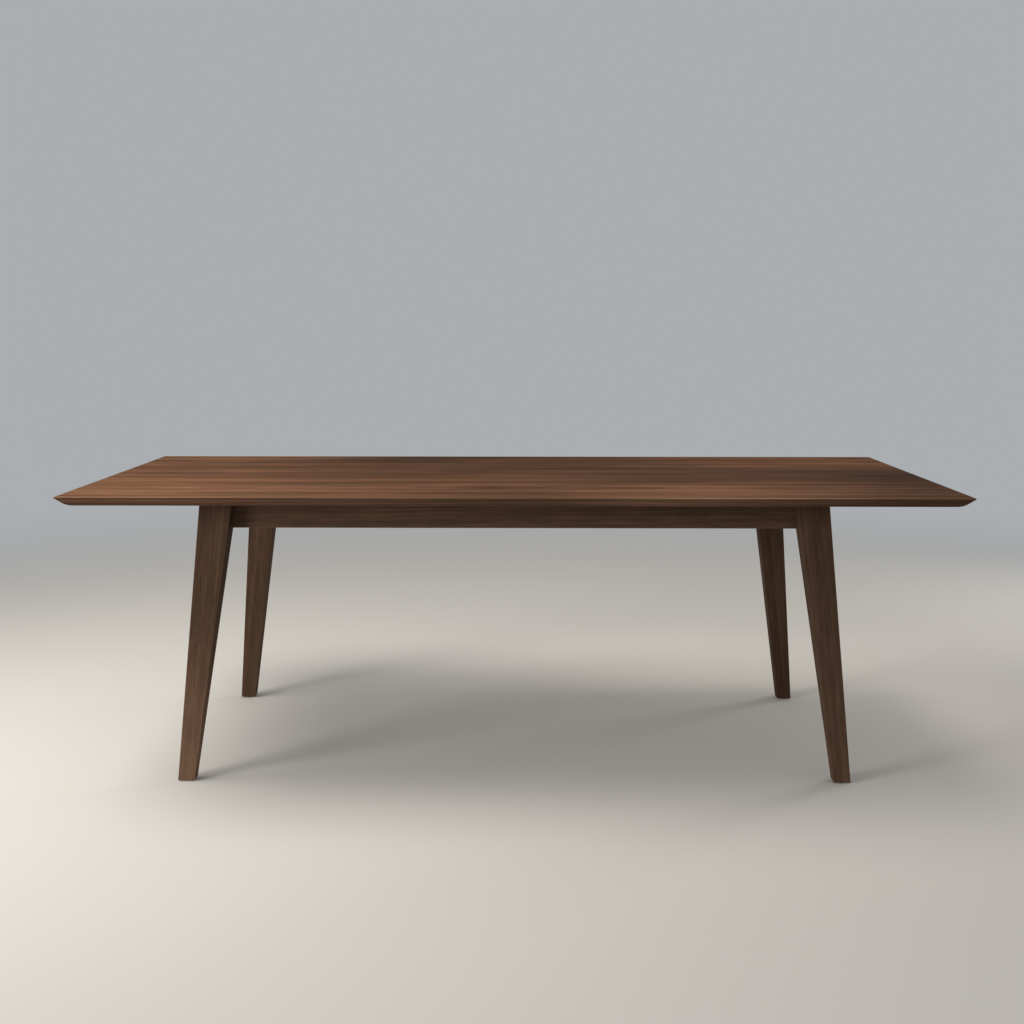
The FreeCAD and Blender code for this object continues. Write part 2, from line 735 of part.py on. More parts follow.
# The clips, turned to face each apron: four along each long apron and two along each end apron
sides = {"front": (0, -1), "rear": (0, 1), "left": (-1, 0), "right": (1, 0)}
for name, (side_x, side_y) in sides.items():
    facing = FreeCAD.Rotation(up, math.degrees(math.atan2(side_x, -side_y)))
    spots = ["clip_near_centre", "clip_far_centre"] if side_y else ["end_clip_centre"]
    clips = []
    screws = []
    for spot in [sided(way, spot) for spot in spots for way in (-1, 1)]:
        if side_y:
            place = (spot, sided(side_y, "long_apron_back"))
            screw_place = (spot, sided(side_y, "long_apron_back - clip_hole_centre"))
        else:
            place = (sided(side_x, "end_apron_back"), spot)
            screw_place = (sided(side_x, "end_apron_back - clip_hole_centre"), spot)
        screw_seat = screw_place + ("top_underside - clip_gauge",)
        clips.append(placed(clip, place + ("top_underside",), None, facing))
        screws.append(placed(clip_screw, screw_seat, (0, 0, 1)))
        add_top_bore(clip_screw_bore, screw_seat, (0, 0, 1), "screw_radius")
    add_group(f"top_clips_{name}", clips)
    add_group(f"clip_screws_{name}", screws)

# The wooden pieces and the glides
for number in range(1, board_count + 1):
    finish_piece(make_board(number))
for label, side in (("long_apron_front", -1), ("long_apron_rear", 1)):
    finish_piece(make_long_apron(label, side))
for label, side in (("end_apron_left", -1), ("end_apron_right", 1)):
    finish_piece(make_end_apron(label, side))
for label, side in (("cross_rail_left", -1), ("cross_rail_right", 1)):
    finish_piece(make_cross_rail(label, side))
for corner, (side_x, side_y) in corners.items():
    finish_piece(make_leg(f"leg_{corner}", side_x, side_y))
    finish_piece(make_corner_block(f"corner_block_{corner}", side_x, side_y))
    finish_piece(make_glide(f"glide_{corner}", side_x, side_y))
doc.recompute()

for item in doc.Objects:
    if "Invalid" in item.State or "Error" in item.State:
        raise RuntimeError(f"{item.Label} failed: {item.State}")
for label, node in nodes.items():
    if node.Shape.isNull() or not node.Shape.isValid() or not node.Shape.Solids:
        raise RuntimeError(f"{label} has no valid solid")

os.makedirs("parts", exist_ok=True)
for label, node in sorted(nodes.items()):
    node.Shape.exportStep(f"parts/{label}.step")
    print(f"{label}: {len(node.Shape.Solids)} solid, {node.Shape.Volume / 1000:.1f} cm3")
print(f"{len(nodes)} nodes")
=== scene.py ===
import math
import bmesh
import bpy
import numpy as np
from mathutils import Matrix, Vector


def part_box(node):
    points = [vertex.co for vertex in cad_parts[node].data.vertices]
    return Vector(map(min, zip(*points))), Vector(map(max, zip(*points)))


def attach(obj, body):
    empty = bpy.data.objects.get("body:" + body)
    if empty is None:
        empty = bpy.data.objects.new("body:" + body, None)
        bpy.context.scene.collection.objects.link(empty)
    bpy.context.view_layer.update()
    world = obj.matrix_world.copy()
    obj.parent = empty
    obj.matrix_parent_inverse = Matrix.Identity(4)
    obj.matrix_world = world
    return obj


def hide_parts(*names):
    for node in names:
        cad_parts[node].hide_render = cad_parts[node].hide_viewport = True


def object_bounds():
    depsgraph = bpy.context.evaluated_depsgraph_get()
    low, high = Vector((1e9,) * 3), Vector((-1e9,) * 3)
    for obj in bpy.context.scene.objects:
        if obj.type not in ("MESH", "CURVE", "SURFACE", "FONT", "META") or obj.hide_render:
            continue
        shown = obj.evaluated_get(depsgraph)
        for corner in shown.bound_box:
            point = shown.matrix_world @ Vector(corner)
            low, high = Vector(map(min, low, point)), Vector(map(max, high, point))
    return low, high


# Dining table in oiled walnut: the boards, aprons and legs are the frame's own solids with wood
# finishes, and the fixings under the top are modelled here in place of their plain solids.
# Lengths are in metres and colours are linear.

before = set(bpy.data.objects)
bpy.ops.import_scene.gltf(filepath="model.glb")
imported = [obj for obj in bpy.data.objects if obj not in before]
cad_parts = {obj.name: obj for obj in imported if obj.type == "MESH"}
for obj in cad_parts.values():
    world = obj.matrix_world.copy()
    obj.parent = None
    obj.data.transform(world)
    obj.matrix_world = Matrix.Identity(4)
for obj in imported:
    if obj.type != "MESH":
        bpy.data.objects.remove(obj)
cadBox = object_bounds()
print("frame loaded:", len(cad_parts), "nodes")

scene = bpy.context.scene
halfLength, halfWidth, tableHeight = cadBox[1]
corners = ("front_left", "front_right", "rear_left", "rear_right")
quarterTurn = math.pi / 2
tiny = 1e-6       # vertices nearer than this are merged
slack = 0.0001    # lengths that differ by less count as the same


# Helpers for node trees, the same for shaders and geometry

def put(tree, kind, inputs=None, **settings):
    node = tree.nodes.new(kind)
    for name, setting in settings.items():
        setattr(node, name, setting)
    for key, source in (inputs or {}).items():
        if isinstance(source, bpy.types.NodeSocket):
            tree.links.new(source, node.inputs[key])
        else:
            node.inputs[key].default_value = source
    return node


def calc(tree, operation, first, second=0.0):
    return put(tree, "ShaderNodeMath", {0: first, 1: second}, operation=operation).outputs[0]


def plus(tree, first, second):
    return calc(tree, "ADD", first, second)


def minus(tree, first, second):
    return calc(tree, "SUBTRACT", first, second)


def times(tree, first, second):
    return calc(tree, "MULTIPLY", first, second)


def calcVector(tree, operation, first, second=(0, 0, 0)):
    return put(tree, "ShaderNodeVectorMath", {0: first, 1: second}, operation=operation).outputs[0]


def scaled(tree, vector, factor):
    return put(tree, "ShaderNodeVectorMath", {0: vector, "Scale": factor}, operation="SCALE").outputs[0]


def combine(tree, x, y, z):
    return put(tree, "ShaderNodeCombineXYZ", {0: x, 1: y, 2: z}).outputs[0]


def separate(tree, vector):
    return put(tree, "ShaderNodeSeparateXYZ", {0: vector}).outputs


def ramp(tree, amount, low, high, start=0.0, end=1.0):
    node = put(tree, "ShaderNodeMapRange", {0: amount, 1: low, 2: high, 3: start, 4: end},
               interpolation_type="SMOOTHSTEP")
    return node.outputs[0]


def noise(tree, vector, detail=2.0, roughness=0.5):
    return put(tree, "ShaderNodeTexNoise", {
        "Vector": vector, "Scale": 1.0, "Detail": detail, "Roughness": roughness}).outputs


def mix(tree, share, first, second, blend="MIX"):
    return put(tree, "ShaderNodeMix", {0: share, 6: first, 7: second},
               data_type="RGBA", blend_type=blend).outputs[2]


def newGroup(name, kind, inputs, outputs):
    group = bpy.data.node_groups.new(name, kind)
    for label, (socketKind, default) in inputs.items():
        socket = group.interface.new_socket(label, in_out="INPUT", socket_type="NodeSocket" + socketKind)
        if default is not None:
            socket.default_value = default
    for label, socketKind in outputs.items():
        group.interface.new_socket(label, in_out="OUTPUT", socket_type="NodeSocket" + socketKind)
    return group, group.nodes.new("NodeGroupInput").outputs, group.nodes.new("NodeGroupOutput").inputs


def join(tree, sources, target):
    for name, source in sources.items():
        tree.links.new(source, target[name])


def newMaterial(name):
    material = bpy.data.materials.new(name)
    material.use_nodes = True
    return material, material.node_tree, material.node_tree.nodes["Principled BSDF"]


def newObject(name, data):
    item = bpy.data.objects.new(name, data)
    scene.collection.objects.link(item)
    return item


# What every wood finish shares. The scales are for noise along the grain and twice across it. A
# pair is where a ramp starts and ends. Streaks, stains and lines have their scale along the grain,
# their scale over the rings, their own place in the noise, and its detail and roughness.
woodGrain = {
    "seedShift": (17.3, 5.1, 9.7),
    "wanderScale": (0.9, 3.5, 3.5),
    "pithLift": 0.4,
    "pithLean": 0.05,
    "ringDarkens": (0.35, 0.9),
    "ringEnds": (1.0, 0.93),
    "faintestRing": 0.3,
    "broadStreaks": (0.55, 1.6, 0.0, 2.0, 0.5),
    "broadShare": 0.45,
    "fineStreaks": (1.7, 6.5, 4.7, 4.0, 0.6),
    "fineShare": 0.55,
    "darkToMid": (0.38, 0.5),
    "midToLight": (0.5, 0.62),
    "stains": (0.8, 3.0, 11.3, 2.0, 0.5),
    "stainStarts": (0.5, 0.72),
    "stainShare": 0.65,
    "lines": (0.9, 14.0, 21.9, 2.0, 0.5),
    "lineStarts": (0.56, 0.66),
    "fibreScale": (7, 420, 420),
    "fibreClears": (0.3, 0.7),
    "poreScale": (65, 1500, 1500),
    "poreStarts": (0.6, 0.72),
    "poreInEarlyWood": 0.5,
    "poreShade": 0.72,
    "mottleScale": (14, 45, 45),
    "mottleClears": (0.35, 0.65),
    "poreRoughness": 0.12,
    "streakGlosses": (0.3, 0.7),
    "streakRoughness": 0.03,
    "fibreHeight": 0.35,
    "poreHeight": 0.5,
    "ringHeight": 0.15,
}

# What each wood finish sets for itself
woodNumbers = ("Ring Width", "Streak Width", "Pith Depth", "Waviness", "Ring Strength",
               "Fibre Strength", "Line Strength", "Mottle Strength", "Roughness")
woodColours = ("Dark", "Mid", "Light", "Stain")


# Sawn wood as a slice through a log. Place runs along the grain in X. The growth rings lie round a
# pith that the seed puts somewhere below the piece, and the streaks follow the rings.
def makeWoodFigure(look):
    tree, given, result = newGroup("woodFigure", "ShaderNodeTree", {
        "Place": ("Vector", None),
        "Seed": ("Float", 1.0),
        **{label: ("Float", None) for label in woodNumbers},
        **{label: ("Color", None) for label in woodColours},
    }, {"Color": "Color", "Roughness": "Float", "Height": "Float"})
    place, seed = given["Place"], given["Seed"]
    seedShift = scaled(tree, look["seedShift"], seed)
    seeded = calcVector(tree, "ADD", place, seedShift)
    chance = put(tree, "ShaderNodeTexWhiteNoise", {"W": seed}, noise_dimensions="1D")
    chances = separate(tree, chance.outputs["Color"])

    # the grain wanders a little from straight
    wander = noise(tree, calcVector(tree, "MULTIPLY", seeded, look["wanderScale"]), 3.0)["Color"]
    wander = calcVector(tree, "SUBTRACT", wander, (0.5, 0.5, 0.5))
    wander = scaled(tree, wander, given["Waviness"])
    x, y, z = separate(tree, calcVector(tree, "ADD", place, wander))

    # distance from the pith, which is tilted to the board
    pithY = times(tree, minus(tree, chances[0], 0.5), given["Pith Depth"])
    pithZ = times(tree, plus(tree, chances[1], look["pithLift"]), given["Pith Depth"])
    lean = times(tree, minus(tree, chances[2], 0.5), look["pithLean"])
    across = minus(tree, y, pithY)
    below = plus(tree, plus(tree, z, pithZ), times(tree, x, lean))
    radius = calc(tree, "SQRT", plus(tree, calc(tree, "POWER", across, 2.0),
                                     calc(tree, "POWER", below, 2.0)))

    # growth rings: each darkens slowly to its late wood and ends sharply
    ringCount = plus(tree, calc(tree, "DIVIDE", radius, given["Ring Width"]), seed)
    ringPart = calc(tree, "FRACT", ringCount)
    ringChance = put(tree, "ShaderNodeTexWhiteNoise", {"W": calc(tree, "FLOOR", ringCount)},
                     noise_dimensions="1D").outputs["Value"]
    late = times(tree, ramp(tree, ringPart, *look["ringDarkens"]),
                 ramp(tree, ringPart, *look["ringEnds"]))
    late = times(tree, late, ramp(tree, ringChance, 0.0, 1.0, look["faintestRing"], 1.0))

    # streaks of colour, long and soft along the grain, and a few thin dark lines that run far
    overRings = calc(tree, "DIVIDE", radius, given["Streak Width"])

    def streaks(kind):
        alongScale, overScale, apart, detail, roughness = look[kind]
        spot = combine(tree, times(tree, x, alongScale),
                       times(tree, overRings, overScale), plus(tree, seed, apart))
        return noise(tree, spot, detail, roughness)[0]

    fine = streaks("fineStreaks")
    streak = plus(tree, times(tree, streaks("broadStreaks"), look["broadShare"]),
                  times(tree, fine, look["fineShare"]))
    stain = ramp(tree, streaks("stains"), *look["stainStarts"], 0.0, look["stainShare"])
    line = ramp(tree, streaks("lines"), *look["lineStarts"])

    # fibres, the short dark pores between them, and soft cloudy patches
    fibrePlace = calcVector(tree, "ADD", combine(tree, x, y, z), seedShift)
    fibre = noise(tree, calcVector(tree, "MULTIPLY", fibrePlace, look["fibreScale"]), 3.0, 0.65)[0]
    pore = noise(tree, calcVector(tree, "MULTIPLY", seeded, look["poreScale"]), 1.0)[0]
    pore = times(tree, ramp(tree, pore, *look["poreStarts"]),
                 ramp(tree, late, 0.0, 1.0, look["poreInEarlyWood"], 1.0))
    mottle = noise(tree, calcVector(tree, "MULTIPLY", seeded, look["mottleScale"]), 3.0, 0.55)[0]

    colour = mix(tree, ramp(tree, streak, *look["darkToMid"]), given["Dark"], given["Mid"])
    colour = mix(tree, ramp(tree, streak, *look["midToLight"]), colour, given["Light"])
    colour = mix(tree, stain, colour, given["Stain"])
    shade = ramp(tree, pore, 0.0, 1.0, 1.0, look["poreShade"])
    for darkness, strength in ((late, "Ring Strength"), (line, "Line Strength"),
                               (ramp(tree, fibre, *look["fibreClears"], 1.0, 0.0), "Fibre Strength"),
                               (ramp(tree, mottle, *look["mottleClears"], 1.0, 0.0), "Mottle Strength")):
        left = minus(tree, 1.0, times(tree, darkness, given[strength]))
        shade = times(tree, shade, left)
    grey = put(tree, "ShaderNodeCombineColor", {0: shade, 1: shade, 2: shade}).outputs[0]
    colour = mix(tree, 1.0, colour, grey, "MULTIPLY")

    gloss = plus(tree, given["Roughness"], times(tree, pore, look["poreRoughness"]))
    gloss = plus(tree, gloss, ramp(tree, fine, *look["streakGlosses"], look["streakRoughness"],
                                   -look["streakRoughness"]))
    height = minus(tree, times(tree, fibre, look["fibreHeight"]),
                   times(tree, pore, look["poreHeight"]))
    height = minus(tree, height, times(tree, late, look["ringHeight"]))
    join(tree, {"Color": colour, "Roughness": gloss, "Height": height}, result)
    return tree


arrisPatches = {
    "scale": 35.0,
    "starts": (0.25, 0.6),
    "least": 0.6,
}


# Near 1 along the arrises of a box that may lean and taper with height, and 0 elsewhere. The box
# is given for the quarter with positive X and Y and stands for all four.
# Where a finish lightens along this mask it stands for wear, and on the top also for a painted highlight.
def makeArrisWearAndHighlight(look):
    tree, given, result = newGroup("arrisWearAndHighlight", "ShaderNodeTree", {
        "Place": ("Vector", None),
        "Centre": ("Vector", (0, 0, 0)),
        "Half": ("Vector", (1, 1, 1)),
        "Lean": ("Vector", (0, 0, 0)),
        "Taper": ("Vector", (0, 0, 0)),
        "Foot": ("Float", 0.0),
        "Band": ("Float", 0.002),
    }, {"Mask": "Float"})
    place = calcVector(tree, "ABSOLUTE", given["Place"])
    rise = minus(tree, separate(tree, place)[2], given["Foot"])
    centre = calcVector(tree, "ADD", given["Centre"], scaled(tree, given["Lean"], rise))
    half = calcVector(tree, "ADD", given["Half"], scaled(tree, given["Taper"], rise))
    off = calcVector(tree, "ABSOLUTE", calcVector(tree, "SUBTRACT", place, centre))
    depths = separate(tree, calcVector(tree, "SUBTRACT", half, off))
    nearX, nearY, nearZ = [ramp(tree, depth, given["Band"], 0.0) for depth in depths]
    mask = times(tree, nearX, nearY)
    for first, second in ((nearY, nearZ), (nearZ, nearX)):
        mask = calc(tree, "MAXIMUM", mask, times(tree, first, second))
    patches = noise(tree, scaled(tree, given["Place"], look["scale"]), 3.0, 0.6)[0]
    mask = times(tree, mask, ramp(tree, patches, *look["starts"], look["least"], 1.0))
    join(tree, {"Mask": mask}, result)
    return tree


# Wear on metal and plastic: dulled patches, faint scratches and a speckle of dust
handlingMarks = {
    "Patches": {"scale": (90, 90, 90), "detail": 4.0, "roughness": 0.6, "starts": (0.35, 0.7)},
    "Scratches": {"scale": (2400, 150, 700), "detail": 2.0, "roughness": 0.5, "starts": (0.55, 0.75)},
    "Speckle": {"scale": (1800, 1800, 1800), "detail": 1.0, "roughness": 0.5, "starts": (0.6, 0.75)},
}


def makeHandling(marks):
    tree, given, result = newGroup("handling", "ShaderNodeTree", {
        "Place": ("Vector", None),
        "Scale": ("Float", 1.0),
    }, {label: "Float" for label in marks})
    place = scaled(tree, given["Place"], given["Scale"])
    masks = {}
    for label, mark in marks.items():
        spot = calcVector(tree, "MULTIPLY", place, mark["scale"])
        masks[label] = ramp(tree, noise(tree, spot, mark["detail"], mark["roughness"])[0], *mark["starts"])
    join(tree, masks, result)
    return tree


woodFigure = makeWoodFigure(woodGrain)
arrisWearAndHighlight = makeArrisWearAndHighlight(arrisPatches)
handling = makeHandling(handlingMarks)
print("shared shader groups built")


# The three woods. A highlight fade is a stretch along the grain and the share of the lighter arris, painted
# highlight and wear, that it ends in.
topWood = {
    "dark": (0.066, 0.031, 0.018, 1),
    "mid": (0.124, 0.06, 0.033, 1),
    "light": (0.21, 0.1, 0.053, 1),
    "stain": (0.098, 0.055, 0.03, 1),
    "ringWidth": 0.0046,
    "streakWidth": 0.08,
    "pithDepth": 0.11,
    "waviness": 0.014,
    "ringStrength": 0.22,
    "fibreStrength": 0.2,
    "lineStrength": 0.24,
    "mottleStrength": 0.0,
    "roughness": 0.62,
    "specular": 0.012,
    "grainDepth": 0.00012,
    "grainStrength": 0.6,
    # the worn colour lightens the top's front and rear arrises: mostly a painted highlight, with some wear;
    # its fades keep it strongest a little right of the middle
    "wearAndHighlight": (0.56, 0.365, 0.24, 1),
    "wearAndHighlightShare": 0.9,
    "wearAndHighlightBand": 0.0016,
    "highlightFades": ((0.45, 0.2, 0.42), (0.65, 0.9, 0.45)),
}

baseWood = dict(
    topWood,
    dark=(0.082, 0.048, 0.031, 1),
    mid=(0.1, 0.059, 0.039, 1),
    light=(0.122, 0.073, 0.049, 1),
    stain=(0.088, 0.056, 0.036, 1),
    ringStrength=0.1,
    fibreStrength=0.3,
    lineStrength=0.08,
    mottleStrength=0.16,
    roughness=0.66,
    specular=0.02,
    streakWidth=0.022,
    ringWidth=0.0035,
    pithDepth=0.16,
    waviness=0.006,
    wearAndHighlight=(0.15, 0.095, 0.062, 1),
    wearAndHighlightShare=0.3,
    wearAndHighlightBand=0.0025,
    highlightFades=(),
)

blockWood = dict(
    topWood,
    dark=(0.36, 0.225, 0.125, 1),
    mid=(0.45, 0.29, 0.165, 1),
    light=(0.54, 0.36, 0.21, 1),
    stain=(0.4, 0.26, 0.14, 1),
    streakWidth=0.02,
    ringWidth=0.003,
    pithDepth=0.2,
    specular=0.25,
)


def tinted(colour, tone):
    return tuple(channel * tone for channel in colour[:3]) + (1,)


# A wood finish. Turn and shift lay the log's length and place on the piece. Edges, where given, are
# the box whose arrises are lightened: wear, and on the top also a painted highlight. Each fade is a stretch
# along the grain and the tone that it ends in, painted light and shade along the piece. Below is a stretch
# of height, from above, and the darker, cooler tint that the wood has under it: painted shade.
def makeWood(name, look, seed, tone=1.0, shift=(0, 0, 0), turn=(0, 0, 0), edges=None, paintedLightFades=(),
             below=None):
    material, tree, shader = newMaterial(name)
    place = put(tree, "ShaderNodeTexCoord").outputs["Object"]
    laid = put(tree, "ShaderNodeMapping", {"Vector": place, "Location": shift, "Rotation": turn},
               vector_type="TEXTURE").outputs[0]
    figure = put(tree, "ShaderNodeGroup", node_tree=woodFigure)
    tree.links.new(laid, figure.inputs["Place"])
    figure.inputs["Seed"].default_value = seed
    for label in woodNumbers:
        figure.inputs[label].default_value = look[label[0].lower() + label[1:].replace(" ", "")]
    for label in woodColours:
        figure.inputs[label].default_value = tinted(look[label.lower()], tone)
    colour = figure.outputs["Color"]
    along = separate(tree, laid)[0]
    # painted light and shade: the colour is scaled along the grain
    for start, end, paintedLightTone in paintedLightFades:
        colour = scaled(tree, colour, ramp(tree, along, start, end, 1.0, paintedLightTone))
    # painted shade: under the top face the wood is tinted darker and cooler
    if below:
        start, end, shadeTint = below
        under = ramp(tree, separate(tree, place)[2], start, end)
        colour = mix(tree, under, colour, mix(tree, 1.0, colour, shadeTint, "MULTIPLY"))
    # lighter arrises: wear, and on the top a painted highlight that the highlight fades shape along the
    # table
    if edges:
        wear = put(tree, "ShaderNodeGroup", node_tree=arrisWearAndHighlight)
        tree.links.new(place, wear.inputs["Place"])
        for label, setting in edges.items():
            wear.inputs[label].default_value = setting
        wear.inputs["Band"].default_value = look["wearAndHighlightBand"]
        share = times(tree, wear.outputs["Mask"], look["wearAndHighlightShare"])
        for start, end, fadeShare in look["highlightFades"]:
            share = times(tree, share, ramp(tree, along, start, end, 1.0, fadeShare))
        colour = mix(tree, share, colour, tinted(look["wearAndHighlight"], tone))
    bump = put(tree, "ShaderNodeBump", {
        "Height": figure.outputs["Height"], "Strength": look["grainStrength"],
        "Distance": look["grainDepth"]})
    shader.inputs["Specular IOR Level"].default_value = look["specular"]
    join(tree, {"Base Color": colour, "Roughness": figure.outputs["Roughness"],
                "Normal": bump.outputs[0]}, shader.inputs)
    return material


def dress(node, material):
    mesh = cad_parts[node].data
    mesh.materials.clear()
    mesh.materials.append(material)


# The top: boards cut from different logs, from the front to the rear. Each has its own tone. Along
# the table the left, middle and right tones multiply it, each over its own fade: painted light and shade
# that brightens or darkens each board along the table.
topBoards = {
    "seeds": (3.1, 8.6, 14.2, 21.9, 27.3, 33.8, 41.4, 52.7),
    "tones": (0.95, 1.4, 0.95, 0.85, 0.9, 0.6, 0.5, 0.65),
    "leftLightTones": (1.25, 0.85, 1.2, 1.1, 1.15, 1.6, 2.3, 1.9),
    "middleLightTones": (1.85, 1.2, 0.85, 0.7, 0.72, 1.3, 1.0, 0.85),
    "rightLightTones": (0.5, 0.33, 0.58, 0.6, 0.78, 1.0, 1.5, 1.6),
}
topLightFades = ((-0.3, -0.95), (0.0, 0.45), (0.5, 1.05))    # from where to where each tone comes in
topEdge = {
    # the wood under the top face, on the bevel and the underside, is tinted darker and cooler: painted
    # shade
    "shadeTint": (0.7, 0.79, 0.96, 1),
    "shadeTintDrop": 0.0006,
    "shadeTintDepth": 0.0005,
    "endPlay": 0.1,    # keeps the painted arris highlight and the wear off the ends, which stay dark
}
topBox = {"Centre": (0, 0, tableHeight / 2),
          "Half": (halfLength + topEdge["endPlay"], halfWidth, tableHeight / 2)}
# the tones after the first are painted light and shade along the board
for number, (seed, tone, *paintedLightTones) in enumerate(zip(*topBoards.values()), start=1):
    node = f"top_board_{number}"
    low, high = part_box(node)
    shift = (0, (low.y + high.y) / 2, high.z)
    paintedLightFades = [span + (paintedLightTone,) for span, paintedLightTone in zip(topLightFades, paintedLightTones)]
    # the painted shade starts just under the top face
    shadeTintTop = high.z - topEdge["shadeTintDrop"]
    below = (shadeTintTop, shadeTintTop - topEdge["shadeTintDepth"], topEdge["shadeTint"])
    dress(node, makeWood(f"walnutTop{number}", topWood, seed, tone, shift, edges=topBox, paintedLightFades=paintedLightFades,
                         below=below))
print("top dressed")


# The section of a leg at its foot or its top, for the quarter with positive X and Y
def legSection(atTop, depth=0.0005):
    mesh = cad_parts["leg_rear_right"].data
    places = np.empty(len(mesh.vertices) * 3)
    mesh.vertices.foreach_get("co", places)
    places = places.reshape(-1, 3)
    level = places[:, 2].max() if atTop else places[:, 2].min()
    section = places[abs(places[:, 2] - level) < depth]
    return Vector(section.min(0)), Vector(section.max(0))


footLow, footHigh = legSection(False)
headLow, headHigh = legSection(True)
footMiddle, headMiddle = (footLow + footHigh) / 2, (headLow + headHigh) / 2
legAxis = headMiddle - footMiddle
legRise = legAxis.z
legBox = {
    "Centre": (footMiddle.x, footMiddle.y, (footMiddle.z + headMiddle.z) / 2),
    "Half": ((footHigh.x - footLow.x) / 2, (footHigh.y - footLow.y) / 2, legRise / 2),
    "Lean": (legAxis.x / legRise, legAxis.y / legRise, 0),
    "Taper": ((headHigh.x - headLow.x - footHigh.x + footLow.x) / 2 / legRise,
              (headHigh.y - headLow.y - footHigh.y + footLow.y) / 2 / legRise, 0),
    "Foot": footMiddle.z,
}
# Each leg has its own tone. The foot tone is painted light and shade, scaling the colour towards the foot:
# lighter on the front legs, darker on the rear right.
legLooks = {
    "front_left": {"seed": 5.4, "tone": 0.84, "footLightTone": 2.0},
    "front_right": {"seed": 9.9, "tone": 0.94, "footLightTone": 1.25},
    "rear_left": {"seed": 12.3, "tone": 0.97, "footLightTone": 0.95},
    "rear_right": {"seed": 16.8, "tone": 0.98, "footLightTone": 0.65},
}
footLightFade = (0.5, 0.0)    # up the leg from the foot
for corner, look in legLooks.items():
    sideX = 1 if corner.endswith("right") else -1
    sideY = 1 if corner.startswith("rear") else -1
    axis = Vector((legAxis.x * sideX, legAxis.y * sideY, legAxis.z))
    foot = Vector((footMiddle.x * sideX, footMiddle.y * sideY, footMiddle.z))
    turn = axis.to_track_quat("X", "Z").to_euler()
    dress(f"leg_{corner}", makeWood(f"walnutLeg_{corner}", baseWood, look["seed"], look["tone"], foot, turn,
                                    legBox, [footLightFade + (look["footLightTone"],)]))

# The aprons, with the grain along each one
aprons = {
    "seeds": {"long_apron_front": 2.2, "long_apron_rear": 6.1,
              "end_apron_left": 7.7, "end_apron_right": 13.5},
    "tone": 1.05,
}
for node, seed in aprons["seeds"].items():
    low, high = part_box(node)
    middle, half = (low + high) / 2, (high - low) / 2
    turn = (quarterTurn, 0, quarterTurn if node.startswith("end") else 0)
    edges = {"Centre": (abs(middle.x), abs(middle.y), middle.z), "Half": tuple(half)}
    dress(node, makeWood(f"walnutApron_{node}", baseWood, seed, aprons["tone"], middle, turn, edges))

# The rails, blocks and dowels under the top, in a plain pale wood
rails = {"seeds": {"cross_rail_left": 4.4, "cross_rail_right": 10.6}, "tone": 1.0}
blocks = {"firstSeed": 18.0, "tone": 0.97}
dowels = {"seed": 23.5, "tone": 1.08}
for node, seed in rails["seeds"].items():
    middle = sum(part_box(node), Vector()) / 2
    dress(node, makeWood(f"beech_{node}", blockWood, seed, rails["tone"], middle,
                         (quarterTurn, 0, quarterTurn)))
for index, corner in enumerate(corners):
    node = f"corner_block_{corner}"
    middle = sum(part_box(node), Vector()) / 2
    turn = (quarterTurn, 0, math.copysign(quarterTurn / 2, -middle.x * middle.y))
    dress(node, makeWood(f"beech_{node}", blockWood, blocks["firstSeed"] + index, blocks["tone"],
                         middle, turn))
dress("rail_dowels", makeWood("beechDowels", blockWood, dowels["seed"], dowels["tone"],
                              turn=(0, 0, quarterTurn)))
print("base dressed")


# Metal and plastic. Drawn is how much the scratches roughen, and depth how deep the marks are.
hardFinishes = {
    "zincSteel": {
        "base": (0.6, 0.61, 0.62, 1), "dull": (0.42, 0.43, 0.43, 1), "dust": (0.3, 0.27, 0.22, 1),
        "metallic": 1.0, "roughness": 0.3, "drawn": 0.12, "depth": 0.00002, "scale": 1.0,
    },
    "pressedSteel": {
        "base": (0.5, 0.5, 0.49, 1), "dull": (0.32, 0.315, 0.3, 1), "dust": (0.24, 0.21, 0.17, 1),
        "metallic": 1.0, "roughness": 0.38, "drawn": 0.2, "depth": 0.00003, "scale": 0.7,
    },
    "brightSteel": {
        "base": (0.55, 0.55, 0.55, 1), "dull": (0.38, 0.36, 0.34, 1), "dust": (0.2, 0.15, 0.1, 1),
        "metallic": 1.0, "roughness": 0.35, "drawn": 0.15, "depth": 0.00002, "scale": 1.2,
    },
    "brownNylon": {
        "base": (0.05, 0.034, 0.024, 1), "dull": (0.075, 0.055, 0.042, 1), "dust": (0.2, 0.18, 0.15, 1),
        "metallic": 0.0, "roughness": 0.5, "drawn": 0.1, "depth": 0.00004, "scale": 0.8,
    },
}
handled = {
    "dullShare": 0.6,
    "dullRoughness": 0.14,
    "dustShare": 0.25,
    "dustHeight": 0.5,
    "bumpStrength": 0.5,
}


def makeHard(name, look):
    material, tree, shader = newMaterial(name)
    place = put(tree, "ShaderNodeTexCoord").outputs["Object"]
    wear = put(tree, "ShaderNodeGroup", node_tree=handling)
    tree.links.new(place, wear.inputs["Place"])
    wear.inputs["Scale"].default_value = look["scale"]
    patches, scratches, speckle = wear.outputs
    colour = mix(tree, times(tree, patches, handled["dullShare"]), look["base"], look["dull"])
    colour = mix(tree, times(tree, speckle, handled["dustShare"]), colour, look["dust"])
    gloss = plus(tree, look["roughness"], times(tree, patches, handled["dullRoughness"]))
    gloss = plus(tree, gloss, times(tree, scratches, look["drawn"]))
    height = minus(tree, times(tree, speckle, handled["dustHeight"]), scratches)
    bump = put(tree, "ShaderNodeBump", {
        "Height": height, "Strength": handled["bumpStrength"], "Distance": look["depth"]})
    shader.inputs["Metallic"].default_value = look["metallic"]
    join(tree, {"Base Color": colour, "Roughness": gloss, "Normal": bump.outputs[0]}, shader.inputs)
    return material


finishes = {name: makeHard(name, look) for name, look in hardFinishes.items()}
print("metal and plastic made")


